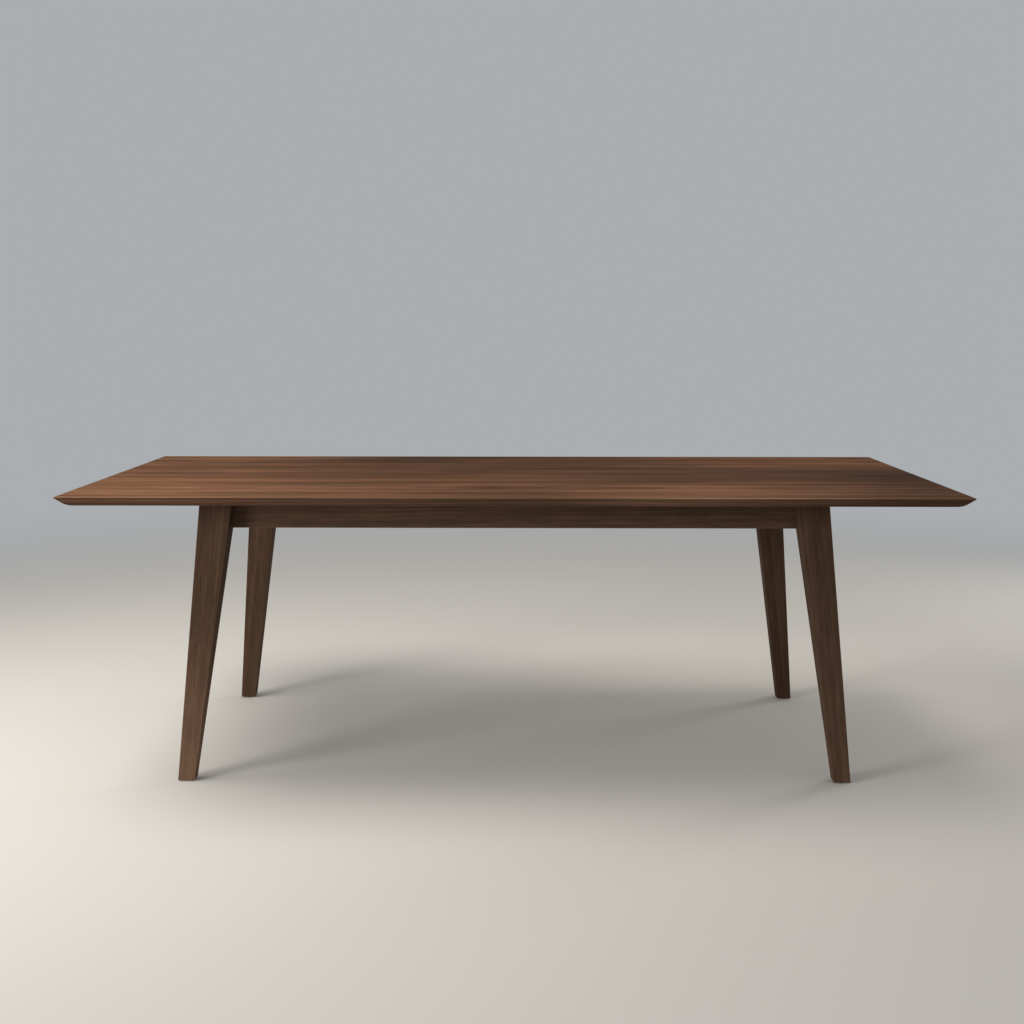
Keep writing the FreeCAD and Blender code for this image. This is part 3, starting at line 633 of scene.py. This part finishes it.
# Reading where the fixings go: each solid of a node, then how it lies along its own direction

def solidsOf(nodes):
    solids = []
    for node in nodes:
        shape = bmesh.new()
        shape.from_mesh(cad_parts[node].data)
        bmesh.ops.remove_doubles(shape, verts=shape.verts, dist=tiny)
        waiting = set(shape.verts)
        for first in shape.verts:
            if first not in waiting:
                continue
            waiting.remove(first)
            reached = [first]
            solid = []
            while reached:
                vertex = reached.pop()
                solid.append(vertex.co.copy())
                for edge in vertex.link_edges:
                    other = edge.other_vert(vertex)
                    if other in waiting:
                        waiting.remove(other)
                        reached.append(other)
            solids.append(np.array(solid))
        shape.free()
    return solids


# The seat is the middle of the wide end, and the way points from there along the solid
def laidAlong(solid, way):
    way = Vector(way).normalized()
    across = way.orthogonal().normalized()
    axes = np.array([across, way.cross(across), way])
    local = solid @ axes.T
    middle = local.mean(0)
    stations = local[:, 2]
    radii = np.hypot(local[:, 0] - middle[0], local[:, 1] - middle[1])
    widest = radii > radii.max() - slack
    low, high = stations.min(), stations.max()
    if stations[widest].mean() > (low + high) / 2 + slack:
        way = -way
        stations = -stations
        low, high = -high, -low
    shoulder = stations[widest].max()
    shank = radii[stations > shoulder + slack]
    seat = Vector(axes[0]) * middle[0] + Vector(axes[1]) * middle[1] + way * low
    return {
        "seat": seat,
        "way": way,
        "Length": float(high - low),
        "Radius": float(radii.max()),
        "Shoulder": float(shoulder - low),
        "Shank": float(shank.max()) if len(shank) else 0.0,
        "Bore": float(radii.min()),
    }


# Modelling helpers for the fixings' trees

def combined(tree, pieces):
    node = put(tree, "GeometryNodeJoinGeometry")
    for piece in pieces:
        tree.links.new(piece, node.inputs[0])
    return node.outputs[0]


def moved(tree, piece, place=(0, 0, 0), turn=(0, 0, 0), size=(1, 1, 1)):
    return put(tree, "GeometryNodeTransform", {
        "Geometry": piece, "Translation": place, "Rotation": turn, "Scale": size}).outputs[0]


# A lathe-turned solid about Z. The outline's corners are (radius, height) from the bottom up. A
# ring also has the corners of its bore, from the bottom up, with the same two ends.
def turned(tree, outline, bore=(), around=24):
    rings = []
    for profile, isBore in ((outline, False), (bore, True)):
        for (lowRadius, low), (highRadius, high) in zip(profile, profile[1:]):
            depth = calc(tree, "MAXIMUM", minus(tree, high, low), 0.0)
            ring = put(tree, "GeometryNodeMeshCone", {
                "Vertices": around, "Radius Bottom": lowRadius, "Radius Top": highRadius,
                "Depth": depth}, fill_type="NONE").outputs["Mesh"]
            ring = moved(tree, ring, combine(tree, 0.0, 0.0, low))
            if isBore:
                ring = put(tree, "GeometryNodeFlipFaces", {"Mesh": ring}).outputs[0]
            rings.append(ring)
    return put(tree, "GeometryNodeMergeByDistance", {
        "Geometry": combined(tree, rings), "Distance": tiny}).outputs[0]


# A ridge that winds up a core, thinned out over one turn at both ends, and drawn in to the point
def thread(tree, core, depth, pitch, low, high, point, around=16):
    thinEnd, tipShare = 0.1, 0.3
    height = minus(tree, high, low)
    spiral = put(tree, "GeometryNodeCurveSpiral", {
        "Resolution": around, "Rotations": calc(tree, "DIVIDE", height, pitch),
        "Start Radius": core, "End Radius": core, "Height": height}).outputs[0]
    spiral = moved(tree, spiral, combine(tree, 0.0, 0.0, low))
    x, y, z = separate(tree, put(tree, "GeometryNodeInputPosition").outputs[0])
    pointFoot = minus(tree, high, point)
    drawnIn = ramp(tree, z, pointFoot, high, 1.0, tipShare)
    place = combine(tree, times(tree, x, drawnIn), times(tree, y, drawnIn), z)
    spiral = put(tree, "GeometryNodeSetPosition", {"Geometry": spiral, "Position": place}).outputs[0]
    spiral = put(tree, "GeometryNodeSetCurveNormal", {"Curve": spiral}, mode="Z_UP").outputs[0]
    fade = times(tree, ramp(tree, z, low, plus(tree, low, pitch), thinEnd, 1.0),
                 ramp(tree, z, minus(tree, high, pitch), high, 1.0, thinEnd))
    ridge = put(tree, "GeometryNodeCurvePrimitiveCircle", {"Resolution": 4, "Radius": depth}, mode="RADIUS")
    return put(tree, "GeometryNodeCurveToMesh", {
        "Curve": spiral, "Profile Curve": ridge.outputs[0], "Scale": fade, "Fill Caps": True}).outputs[0]


def boolean(tree, operation, base, others):
    node = put(tree, "GeometryNodeMeshBoolean", operation=operation, solver="MANIFOLD")
    if operation == "DIFFERENCE":
        tree.links.new(base, node.inputs["Mesh 1"])
    else:
        others = [base] + others
    for other in others:
        tree.links.new(other, node.inputs["Mesh 2"])
    return node.outputs["Mesh"]


# Sets a finished piece on every seat. A round piece points along the seat's way with a turn of its
# own, and a bent one stays upright and faces the way.
def setOnSeats(tree, given, result, piece, isRound=True):
    way = put(tree, "GeometryNodeInputNamedAttribute", {"Name": "way"}, data_type="FLOAT_VECTOR").outputs[0]
    if isRound:
        chance = put(tree, "FunctionNodeRandomValue", {2: 0.0, 3: math.tau, 8: given["Seed"]},
                     data_type="FLOAT").outputs[1]
        spin = put(tree, "FunctionNodeAxisAngleToRotation", {0: (0, 0, 1), 1: chance}).outputs[0]
        turn = put(tree, "FunctionNodeAlignRotationToVector", {"Vector": way}, axis="Z").outputs[0]
        turn = put(tree, "FunctionNodeRotateRotation", {0: turn, 1: spin},
                   rotation_space="LOCAL").outputs[0]
    else:
        turn = put(tree, "FunctionNodeAlignRotationToVector", {"Vector": way}, axis="Y",
                   pivot_axis="Z").outputs[0]
    copies = put(tree, "GeometryNodeInstanceOnPoints", {
        "Points": given["Seats"], "Instance": piece, "Rotation": turn}).outputs[0]
    copies = put(tree, "GeometryNodeRealizeInstances", {"Geometry": copies}).outputs[0]
    finished = put(tree, "GeometryNodeSetMaterial", {"Geometry": copies, "Material": given["Finish"]})
    join(tree, {"Geometry": finished.outputs[0]}, result)


# The sizes given here stand until fitKind sets the ones that it read from the frame
def newKind(name, sizes):
    inputs = {"Seats": ("Geometry", None)}
    inputs.update({label: ("Float", size) for label, size in sizes.items()})
    inputs.update({"Seed": ("Int", 1), "Finish": ("Material", None)})
    group, given, result = newGroup(name, "GeometryNodeTree", inputs, {"Geometry": "Geometry"})
    group.is_modifier = True
    return group, given, result


panScrew = {
    "headShares": ((0.5, 0.04), (0.78, 0.16), (0.93, 0.38), (1.0, 0.68), (1.0, 0.92), (0.97, 1.0)),
    "point": 0.004,
    "blunt": 0.0006,
    "pitch": 0.0018,
    "threadDepth": 0.00055,
    "plain": 0.0015,
    "slotReach": 0.0022,
    "slotDepth": 0.0014,
    "slotWidthShare": 0.32,
    "slotTaper": 0.45,
}


# A screw: a domed head with a cross slot, a core with its thread, and a point. Z runs from the head
# to the tip. The head's shares are of its radius and its height, from the crown out.
def makeScrewKind(look):
    tree, given, result = newKind("panScrew", {
        "Length": 0.03, "Radius": 0.004, "Shoulder": 0.0025, "Shank": 0.002,
        "Point": look["point"], "Pitch": look["pitch"], "Thread Depth": look["threadDepth"],
        "Plain": look["plain"]})
    radius, seat, shank = given["Radius"], given["Shoulder"], given["Shank"]
    core = minus(tree, shank, given["Thread Depth"])
    pointFoot = minus(tree, given["Length"], given["Point"])
    outline = [(0.0, 0.0)]
    for across, up in look["headShares"]:
        outline.append((times(tree, radius, across), times(tree, seat, up)))
    plainFoot = plus(tree, seat, given["Plain"])
    outline += [(shank, seat), (shank, plainFoot),
                (core, plus(tree, plainFoot, given["Thread Depth"])), (core, pointFoot),
                (0.0, given["Length"])]
    ridge = thread(tree, core, given["Thread Depth"], given["Pitch"], plainFoot,
                   minus(tree, given["Length"], look["blunt"]), given["Point"])
    piece = boolean(tree, "UNION", turned(tree, outline), [ridge])
    blade = put(tree, "GeometryNodeMeshCone", {
        "Vertices": 4, "Radius Bottom": look["slotReach"],
        "Radius Top": look["slotReach"] * look["slotTaper"],
        "Depth": look["slotDepth"] * 2}).outputs["Mesh"]
    blade = moved(tree, blade, (0, 0, -look["slotDepth"]), (0, 0, 0), (1, look["slotWidthShare"], 1))
    blades = [moved(tree, blade, turn=(0, 0, turn)) for turn in (0, quarterTurn)]
    piece = boolean(tree, "DIFFERENCE", piece, blades)
    setOnSeats(tree, given, result, piece)
    return tree


hangerBolt = {
    "tailChamfer": 0.0006,
    "machinePitch": 0.00125,
    "machineDepth": 0.00055,
    "woodPitch": 0.003,
    "woodDepth": 0.0008,
    "point": 0.006,
    "blunt": 0.0008,
}


# A fine thread for the nut, a plain collar, then a coarse thread and a point for the leg
def makeHangerBoltKind(look):
    tree, given, result = newKind("hangerBolt", {
        "Length": 0.08, "Radius": 0.004, "Shoulder": 0.04, "Shank": 0.0036, "Point": look["point"],
        "Machine Pitch": look["machinePitch"], "Wood Pitch": look["woodPitch"]})
    length, radius, shoulder = given["Length"], given["Radius"], given["Shoulder"]
    machineCore = minus(tree, radius, look["machineDepth"])
    woodCore = minus(tree, given["Shank"], look["woodDepth"])
    chamfer = look["tailChamfer"]
    collar = minus(tree, shoulder, look["woodPitch"])
    piece = turned(tree, [
        (0.0, 0.0),
        (minus(tree, machineCore, chamfer), 0.0),
        (machineCore, chamfer),
        (machineCore, collar),
        (radius, plus(tree, collar, look["machineDepth"])),
        (radius, shoulder),
        (woodCore, plus(tree, shoulder, look["woodDepth"])),
        (woodCore, minus(tree, length, given["Point"])),
        (0.0, length)])
    machineRidge = thread(tree, machineCore, look["machineDepth"], given["Machine Pitch"], chamfer, collar,
                          0.0, 14)
    woodRidge = thread(tree, woodCore, look["woodDepth"], given["Wood Pitch"], shoulder,
                       minus(tree, length, look["blunt"]), given["Point"], 12)
    piece = boolean(tree, "UNION", piece, [machineRidge, woodRidge])
    setOnSeats(tree, given, result, piece)
    return tree


boltNut = {
    "faceShare": 0.8227,    # the chamfer starts inside the flats, which are at 0.866 of the corners
    "blankShare": 1.02,
    "chamferSlope": 0.577,
    "boreChamfer": 0.0007,
    "overrun": 0.001,
}


# A hexagon cut by a turned blank, which leaves the curved chamfers on both faces
def makeNutKind(look):
    tree, given, result = newKind("hexNut", {"Length": 0.0065, "Radius": 0.0075, "Bore": 0.004})
    height, radius, bore = given["Length"], given["Radius"], given["Bore"]
    hexagon = put(tree, "GeometryNodeMeshCylinder", {"Vertices": 6, "Radius": radius, "Depth": height})
    hexagon = moved(tree, hexagon.outputs["Mesh"],
                    combine(tree, 0.0, 0.0, calc(tree, "DIVIDE", height, 2.0)))
    faceRadius = times(tree, radius, look["faceShare"])
    wideRadius = times(tree, radius, look["blankShare"])
    rise = times(tree, minus(tree, wideRadius, faceRadius), look["chamferSlope"])
    blank = turned(tree, [
        (0.0, 0.0),
        (faceRadius, 0.0),
        (wideRadius, rise),
        (wideRadius, minus(tree, height, rise)),
        (faceRadius, height),
        (0.0, height)], around=48)
    wideBore = plus(tree, bore, look["boreChamfer"])
    past = plus(tree, height, look["overrun"])
    drill = turned(tree, [
        (0.0, -look["overrun"]),
        (wideBore, -look["overrun"]),
        (wideBore, 0.0),
        (bore, look["boreChamfer"]),
        (bore, minus(tree, height, look["boreChamfer"])),
        (wideBore, height),
        (wideBore, past),
        (0.0, past)], around=48)
    piece = boolean(tree, "INTERSECT", hexagon, [blank])
    piece = boolean(tree, "DIFFERENCE", piece, [drill])
    setOnSeats(tree, given, result, piece)
    return tree


boltWasher = {
    "easing": 0.0002,
}


def makeWasherKind(look):
    tree, given, result = newKind("washer", {"Length": 0.0016, "Radius": 0.008, "Bore": 0.0042})
    height, radius, bore, easing = given["Length"], given["Radius"], given["Bore"], look["easing"]
    high = minus(tree, height, easing)
    outer = minus(tree, radius, easing)
    inner = plus(tree, bore, easing)
    rim = [(inner, 0.0), (outer, 0.0), (radius, easing), (radius, high), (outer, height), (inner, height)]
    hole = [(inner, 0.0), (bore, easing), (bore, high), (inner, height)]
    setOnSeats(tree, given, result, turned(tree, rim, hole, around=48))
    return tree


topClip = {
    "gauge": 0.002,
    "tongue": 0.014,
    "bend": 0.0018,
    "edgeEasing": 0.00035,
    "holeFromTip": 0.023,
    "holeRadius": 0.0024,
}


# A strip bent twice: the tongue goes into the apron's groove, and the tab lies under the top. Y
# points to the apron and the seat is over the tongue's tip, level with the top of the tab.
def makeClipKind(look):
    tree, given, result = newKind("topClip", {
        "Reach": 0.036, "Height": 0.013, "Width": 0.02, "Gauge": look["gauge"], "Bend": look["bend"]})
    half = look["gauge"] / 2
    low = minus(tree, half, given["Height"])
    riser = half - look["tongue"]
    path = [combine(tree, 0.0, 0.0, low), combine(tree, 0.0, riser, low), combine(tree, 0.0, riser, -half),
            combine(tree, 0.0, times(tree, given["Reach"], -1.0), -half)]
    edges = [put(tree, "GeometryNodeMeshLine", {"Count": 2, "Start Location": start, "Offset": end},
                 mode="END_POINTS").outputs[0] for start, end in zip(path, path[1:])]
    line = put(tree, "GeometryNodeMergeByDistance", {"Geometry": combined(tree, edges), "Distance": tiny})
    curve = put(tree, "GeometryNodeMeshToCurve", {"Mesh": line.outputs[0]}).outputs[0]
    curve = put(tree, "GeometryNodeFilletCurve", {"Curve": curve, "Count": 6, "Radius": given["Bend"]},
                mode="POLY").outputs[0]
    curve = put(tree, "GeometryNodeSetCurveNormal", {"Curve": curve, "Normal": (1, 0, 0)},
                mode="FREE").outputs[0]
    strip = put(tree, "GeometryNodeCurvePrimitiveQuadrilateral", {
        "Width": given["Width"], "Height": given["Gauge"]}, mode="RECTANGLE").outputs[0]
    strip = put(tree, "GeometryNodeFilletCurve", {"Curve": strip, "Count": 2, "Radius": look["edgeEasing"]},
                mode="POLY").outputs[0]
    piece = put(tree, "GeometryNodeCurveToMesh", {
        "Curve": curve, "Profile Curve": strip, "Fill Caps": True}).outputs[0]
    drill = put(tree, "GeometryNodeMeshCylinder", {
        "Vertices": 32, "Radius": look["holeRadius"], "Depth": look["gauge"] * 2}).outputs["Mesh"]
    drill = moved(tree, drill, (0, -look["holeFromTip"], -half))
    piece = boolean(tree, "DIFFERENCE", piece, [drill])
    setOnSeats(tree, given, result, piece, isRound=False)
    return tree


glide = {
    "recessRadius": 0.0042,
    "recessDepth": 0.0014,
    "mouthEasing": 0.0002,
    "nailBore": 0.0013,
    "easings": ((0.0, 0.0011), (0.00035, 0.00045), (0.0011, 0.0)),
}


# A nylon disc with a dished hole for its nail. Z runs from the leg down to the floor. An easing is
# a corner of the rounded rim, in from the side and up from the floor.
def makeGlideKind(look):
    tree, given, result = newKind("glide", {"Length": 0.003, "Radius": 0.012})
    height, radius = given["Length"], given["Radius"]
    bore, recess, mouth = look["nailBore"], look["recessRadius"], look["recessRadius"] + look["mouthEasing"]
    recessRoof = minus(tree, height, look["recessDepth"])
    rim = [(bore, 0.0), (radius, 0.0)]
    for inset, rise in look["easings"]:
        rim.append((minus(tree, radius, inset), minus(tree, height, rise)))
    rim.append((mouth, height))
    hole = [(bore, 0.0), (bore, recessRoof), (recess, recessRoof), (mouth, height)]
    setOnSeats(tree, given, result, turned(tree, rim, hole, around=64))
    return tree


glideNail = {
    "headShares": ((0.35, 0.06), (0.65, 0.22), (0.87, 0.5), (0.98, 0.8), (1.0, 1.0)),
    "point": 0.0035,
}


def makeNailKind(look):
    tree, given, result = newKind("nail", {
        "Length": 0.019, "Radius": 0.004, "Shoulder": 0.0009, "Shank": 0.0012, "Point": look["point"]})
    radius, shoulder, shank = given["Radius"], given["Shoulder"], given["Shank"]
    outline = [(0.0, 0.0)]
    for across, up in look["headShares"]:
        outline.append((times(tree, radius, across), times(tree, shoulder, up)))
    outline += [(shank, shoulder), (shank, minus(tree, given["Length"], given["Point"])),
                (0.0, given["Length"])]
    setOnSeats(tree, given, result, turned(tree, outline))
    return tree


fitting = {
    "spinSeed": 1,
    "sharpAngle": math.radians(32),
}


# Runs a tree on its seats and keeps the result as a plain mesh in place of the frame's solids
def fitKind(name, tree, fits, finish, nodes):
    points = bpy.data.meshes.new(name + "Seats")
    points.from_pydata([fit["seat"] for fit in fits], [], [])
    ways = points.attributes.new("way", "FLOAT_VECTOR", "POINT")
    ways.data.foreach_set("vector", np.ravel([fit["way"] for fit in fits]))
    piece = newObject(name, points)
    modifier = piece.modifiers.new("make", "NODES")
    modifier.node_group = tree
    settings = dict(fits[0], Finish=finishes[finish], Seed=fitting["spinSeed"])
    for item in tree.interface.items_tree:
        if item.in_out == "INPUT" and item.name in settings:
            modifier[item.identifier] = settings[item.name]
    evaluated = piece.evaluated_get(bpy.context.evaluated_depsgraph_get())
    mesh = bpy.data.meshes.new_from_object(evaluated)
    piece.modifiers.clear()
    piece.data = mesh
    shape = bmesh.new()
    shape.from_mesh(mesh)
    bmesh.ops.remove_doubles(shape, verts=shape.verts, dist=tiny)
    bmesh.ops.recalc_face_normals(shape, faces=shape.faces)
    for face in shape.faces:
        face.material_index = 0
    shape.to_mesh(mesh)
    shape.free()
    mesh.materials.clear()
    mesh.materials.append(finishes[finish])
    mesh.shade_smooth()
    mesh.set_sharp_from_angle(angle=fitting["sharpAngle"])
    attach(piece, "root")
    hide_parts(*nodes)
    print(f"{name}: {len(fits)} fitted, {len(mesh.polygons)} faces")


def cornerNodes(prefix):
    return [f"{prefix}_{corner}" for corner in corners]


# The way is given for the corner with positive X and Y, and mirrored into the others
def fitTurned(name, tree, prefix, way, finish):
    nodes = cornerNodes(prefix)
    fits = []
    for node in nodes:
        middle = sum(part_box(node), Vector()) / 2
        sides = (math.copysign(1, middle.x), math.copysign(1, middle.y), 1)
        fits += [laidAlong(solid, [side * part for side, part in zip(sides, way)])
                 for solid in solidsOf([node])]
    fitKind(name, tree, fits, finish, nodes)


# A screw's own direction is the longest side of its box
def fitScrews(name, tree, nodes):
    fits = []
    for solid in solidsOf(nodes):
        spread = solid.max(0) - solid.min(0)
        fits.append(laidAlong(solid, np.eye(3)[spread.argmax()]))
    fitKind(name, tree, fits, "zincSteel", nodes)


clipSides = {"front": (0, -1, 0), "rear": (0, 1, 0), "left": (-1, 0, 0), "right": (1, 0, 0)}


def sideNodes(prefix):
    return [f"{prefix}_{side}" for side in clipSides]


def fitClips(tree):
    nodes = sideNodes("top_clips")
    fits = []
    for node, side in zip(nodes, clipSides.values()):
        way = Vector(side)
        for solid in solidsOf([node]):
            low, high = Vector(solid.min(0)), Vector(solid.max(0))
            middle, spread = (low + high) / 2, high - low
            reach = abs(spread.dot(way))
            seat = Vector((middle.x, middle.y, high.z)) + way * (reach / 2)
            fits.append({"seat": seat, "way": way, "Reach": reach, "Height": spread.z,
                         "Width": abs(spread.dot(way.cross((0, 0, 1))))})
    fitKind("topClips", tree, fits, "pressedSteel", nodes)


fitTurned("hangerBolts", makeHangerBoltKind(hangerBolt), "hanger_bolts", (1, 1, 0), "zincSteel")
fitTurned("boltNuts", makeNutKind(boltNut), "bolt_nuts", (1, 1, 0), "zincSteel")
fitTurned("boltWashers", makeWasherKind(boltWasher), "bolt_washers", (1, 1, 0), "zincSteel")
fitTurned("glides", makeGlideKind(glide), "glide", (0, 0, -1), "brownNylon")
fitTurned("glideNails", makeNailKind(glideNail), "glide_nail", (0, 0, 1), "brightSteel")
screwKind = makeScrewKind(panScrew)
fitScrews("blockScrews", screwKind, cornerNodes("block_screws"))
fitScrews("clipScrews", screwKind, sideNodes("clip_screws"))
fitScrews("railScrews", screwKind, ["rail_screws"])
fitClips(makeClipKind(topClip))
print("fixings fitted")


# The stage: a plain pale floor that runs out to the colour of the background
stage = {
    "radius": 40.0,
    "segments": 96,
    "fadeStart": 2.0,
    "fadeEnd": 5.5,
    "floor": (0.6, 0.595, 0.58, 1),
    "roughness": 0.9,
    "specular": 0.1,
    "background": (0.4, 0.42, 0.44, 1),
    "sky": (1.0, 0.98, 0.94, 1),
    "skyStrength": 0.5,
}


def makeFloor():
    mesh = bpy.data.meshes.new("floor")
    shape = bmesh.new()
    bmesh.ops.create_circle(shape, cap_ends=True, cap_tris=True, segments=stage["segments"],
                            radius=stage["radius"])
    shape.to_mesh(mesh)
    shape.free()
    floor = newObject("floor", mesh)
    material, tree, shader = newMaterial("paleFloor")
    shader.inputs["Base Color"].default_value = stage["floor"]
    shader.inputs["Roughness"].default_value = stage["roughness"]
    shader.inputs["Specular IOR Level"].default_value = stage["specular"]
    place = put(tree, "ShaderNodeTexCoord").outputs["Object"]
    distance = put(tree, "ShaderNodeVectorMath", {0: place}, operation="LENGTH").outputs["Value"]
    far = put(tree, "ShaderNodeEmission", {"Color": stage["background"]})
    seen = put(tree, "ShaderNodeLightPath").outputs["Is Camera Ray"]
    share = times(tree, ramp(tree, distance, stage["fadeStart"], stage["fadeEnd"]), seen)
    blended = put(tree, "ShaderNodeMixShader", {0: share, 1: shader.outputs[0], 2: far.outputs[0]})
    # seen from below, the floor lets the underside of the table show
    fromBelow = times(tree, put(tree, "ShaderNodeNewGeometry").outputs["Backfacing"], seen)
    clear = put(tree, "ShaderNodeBsdfTransparent")
    blended = put(tree, "ShaderNodeMixShader", {0: fromBelow, 1: blended.outputs[0], 2: clear.outputs[0]})
    tree.links.new(blended.outputs[0], tree.nodes["Material Output"].inputs["Surface"])
    mesh.materials.append(material)


def makeWorld():
    world = bpy.data.worlds.new("studio")
    scene.world = world
    world.use_nodes = True
    tree = world.node_tree
    tree.nodes.clear()
    sky = put(tree, "ShaderNodeBackground", {"Color": stage["sky"], "Strength": stage["skyStrength"]})
    shown = put(tree, "ShaderNodeBackground", {"Color": stage["background"], "Strength": 1.0})
    rays = put(tree, "ShaderNodeLightPath").outputs
    seen = calc(tree, "MAXIMUM", rays["Is Camera Ray"], rays["Is Glossy Ray"])
    seen = calc(tree, "MAXIMUM", seen, rays["Is Transmission Ray"])
    blended = put(tree, "ShaderNodeMixShader", {0: seen, 1: sky.outputs[0], 2: shown.outputs[0]})
    output = tree.nodes.new("ShaderNodeOutputWorld")
    tree.links.new(blended.outputs[0], output.inputs["Surface"])


# Power is in watts and spread in degrees
lamps = {
    "keyLight": {"place": (-1.7, -0.3, 2.4), "aim": (-0.5, 0.0, 0.6), "size": 1.2, "power": 46,
                 "colour": (1.0, 0.93, 0.84), "spread": 180},
    "lowLight": {"place": (-3.9, -2.9, 1.35), "aim": (-0.2, 0.0, 0.5), "size": 1.8, "power": 57,
                 "colour": (1.0, 0.94, 0.87), "spread": 115},
    "topLight": {"place": (0.75, 0.45, 2.2), "aim": (0.7, 0.3, 0.74), "size": 0.6, "power": 1.65,
                 "colour": (1.0, 0.88, 0.75), "spread": 60},
    "rearLight": {"place": (3.8, 2.2, 1.1), "aim": (0.2, 0.2, 0.5), "size": 1.4, "power": 18,
                  "colour": (1.0, 0.93, 0.85), "spread": 115},
}


def makeLamp(name, lamp):
    light = bpy.data.lights.new(name, "AREA")
    light.shape = "DISK"
    light.size = lamp["size"]
    light.energy = lamp["power"]
    light.color = lamp["colour"]
    light.spread = math.radians(lamp["spread"])
    item = newObject(name, light)
    item.visible_camera = False
    item.location = lamp["place"]
    item.rotation_euler = (Vector(lamp["aim"]) - Vector(lamp["place"])).to_track_quat("-Z", "Y").to_euler()


# Angles in radians, lens and sensor in millimetres
view = {
    "place": (0.026, -3.5897, 1.149),
    "tiltDown": 0.14203,
    "leanLeft": 0.0004,
    "turnLeft": 0.0095,
    "lens": 46.125,
    "sensor": 36.0,
}


def makeCamera():
    camera = newObject("camera", bpy.data.cameras.new("camera"))
    camera.data.lens = view["lens"]
    camera.data.sensor_width = view["sensor"]
    camera.location = view["place"]
    camera.rotation_euler = (quarterTurn - view["tiltDown"], -view["leanLeft"], view["turnLeft"])
    scene.camera = camera


makeFloor()
makeWorld()
for name, lamp in lamps.items():
    makeLamp(name, lamp)
makeCamera()
scene.view_settings.view_transform = "Standard"
print("stage, lamps and camera set")
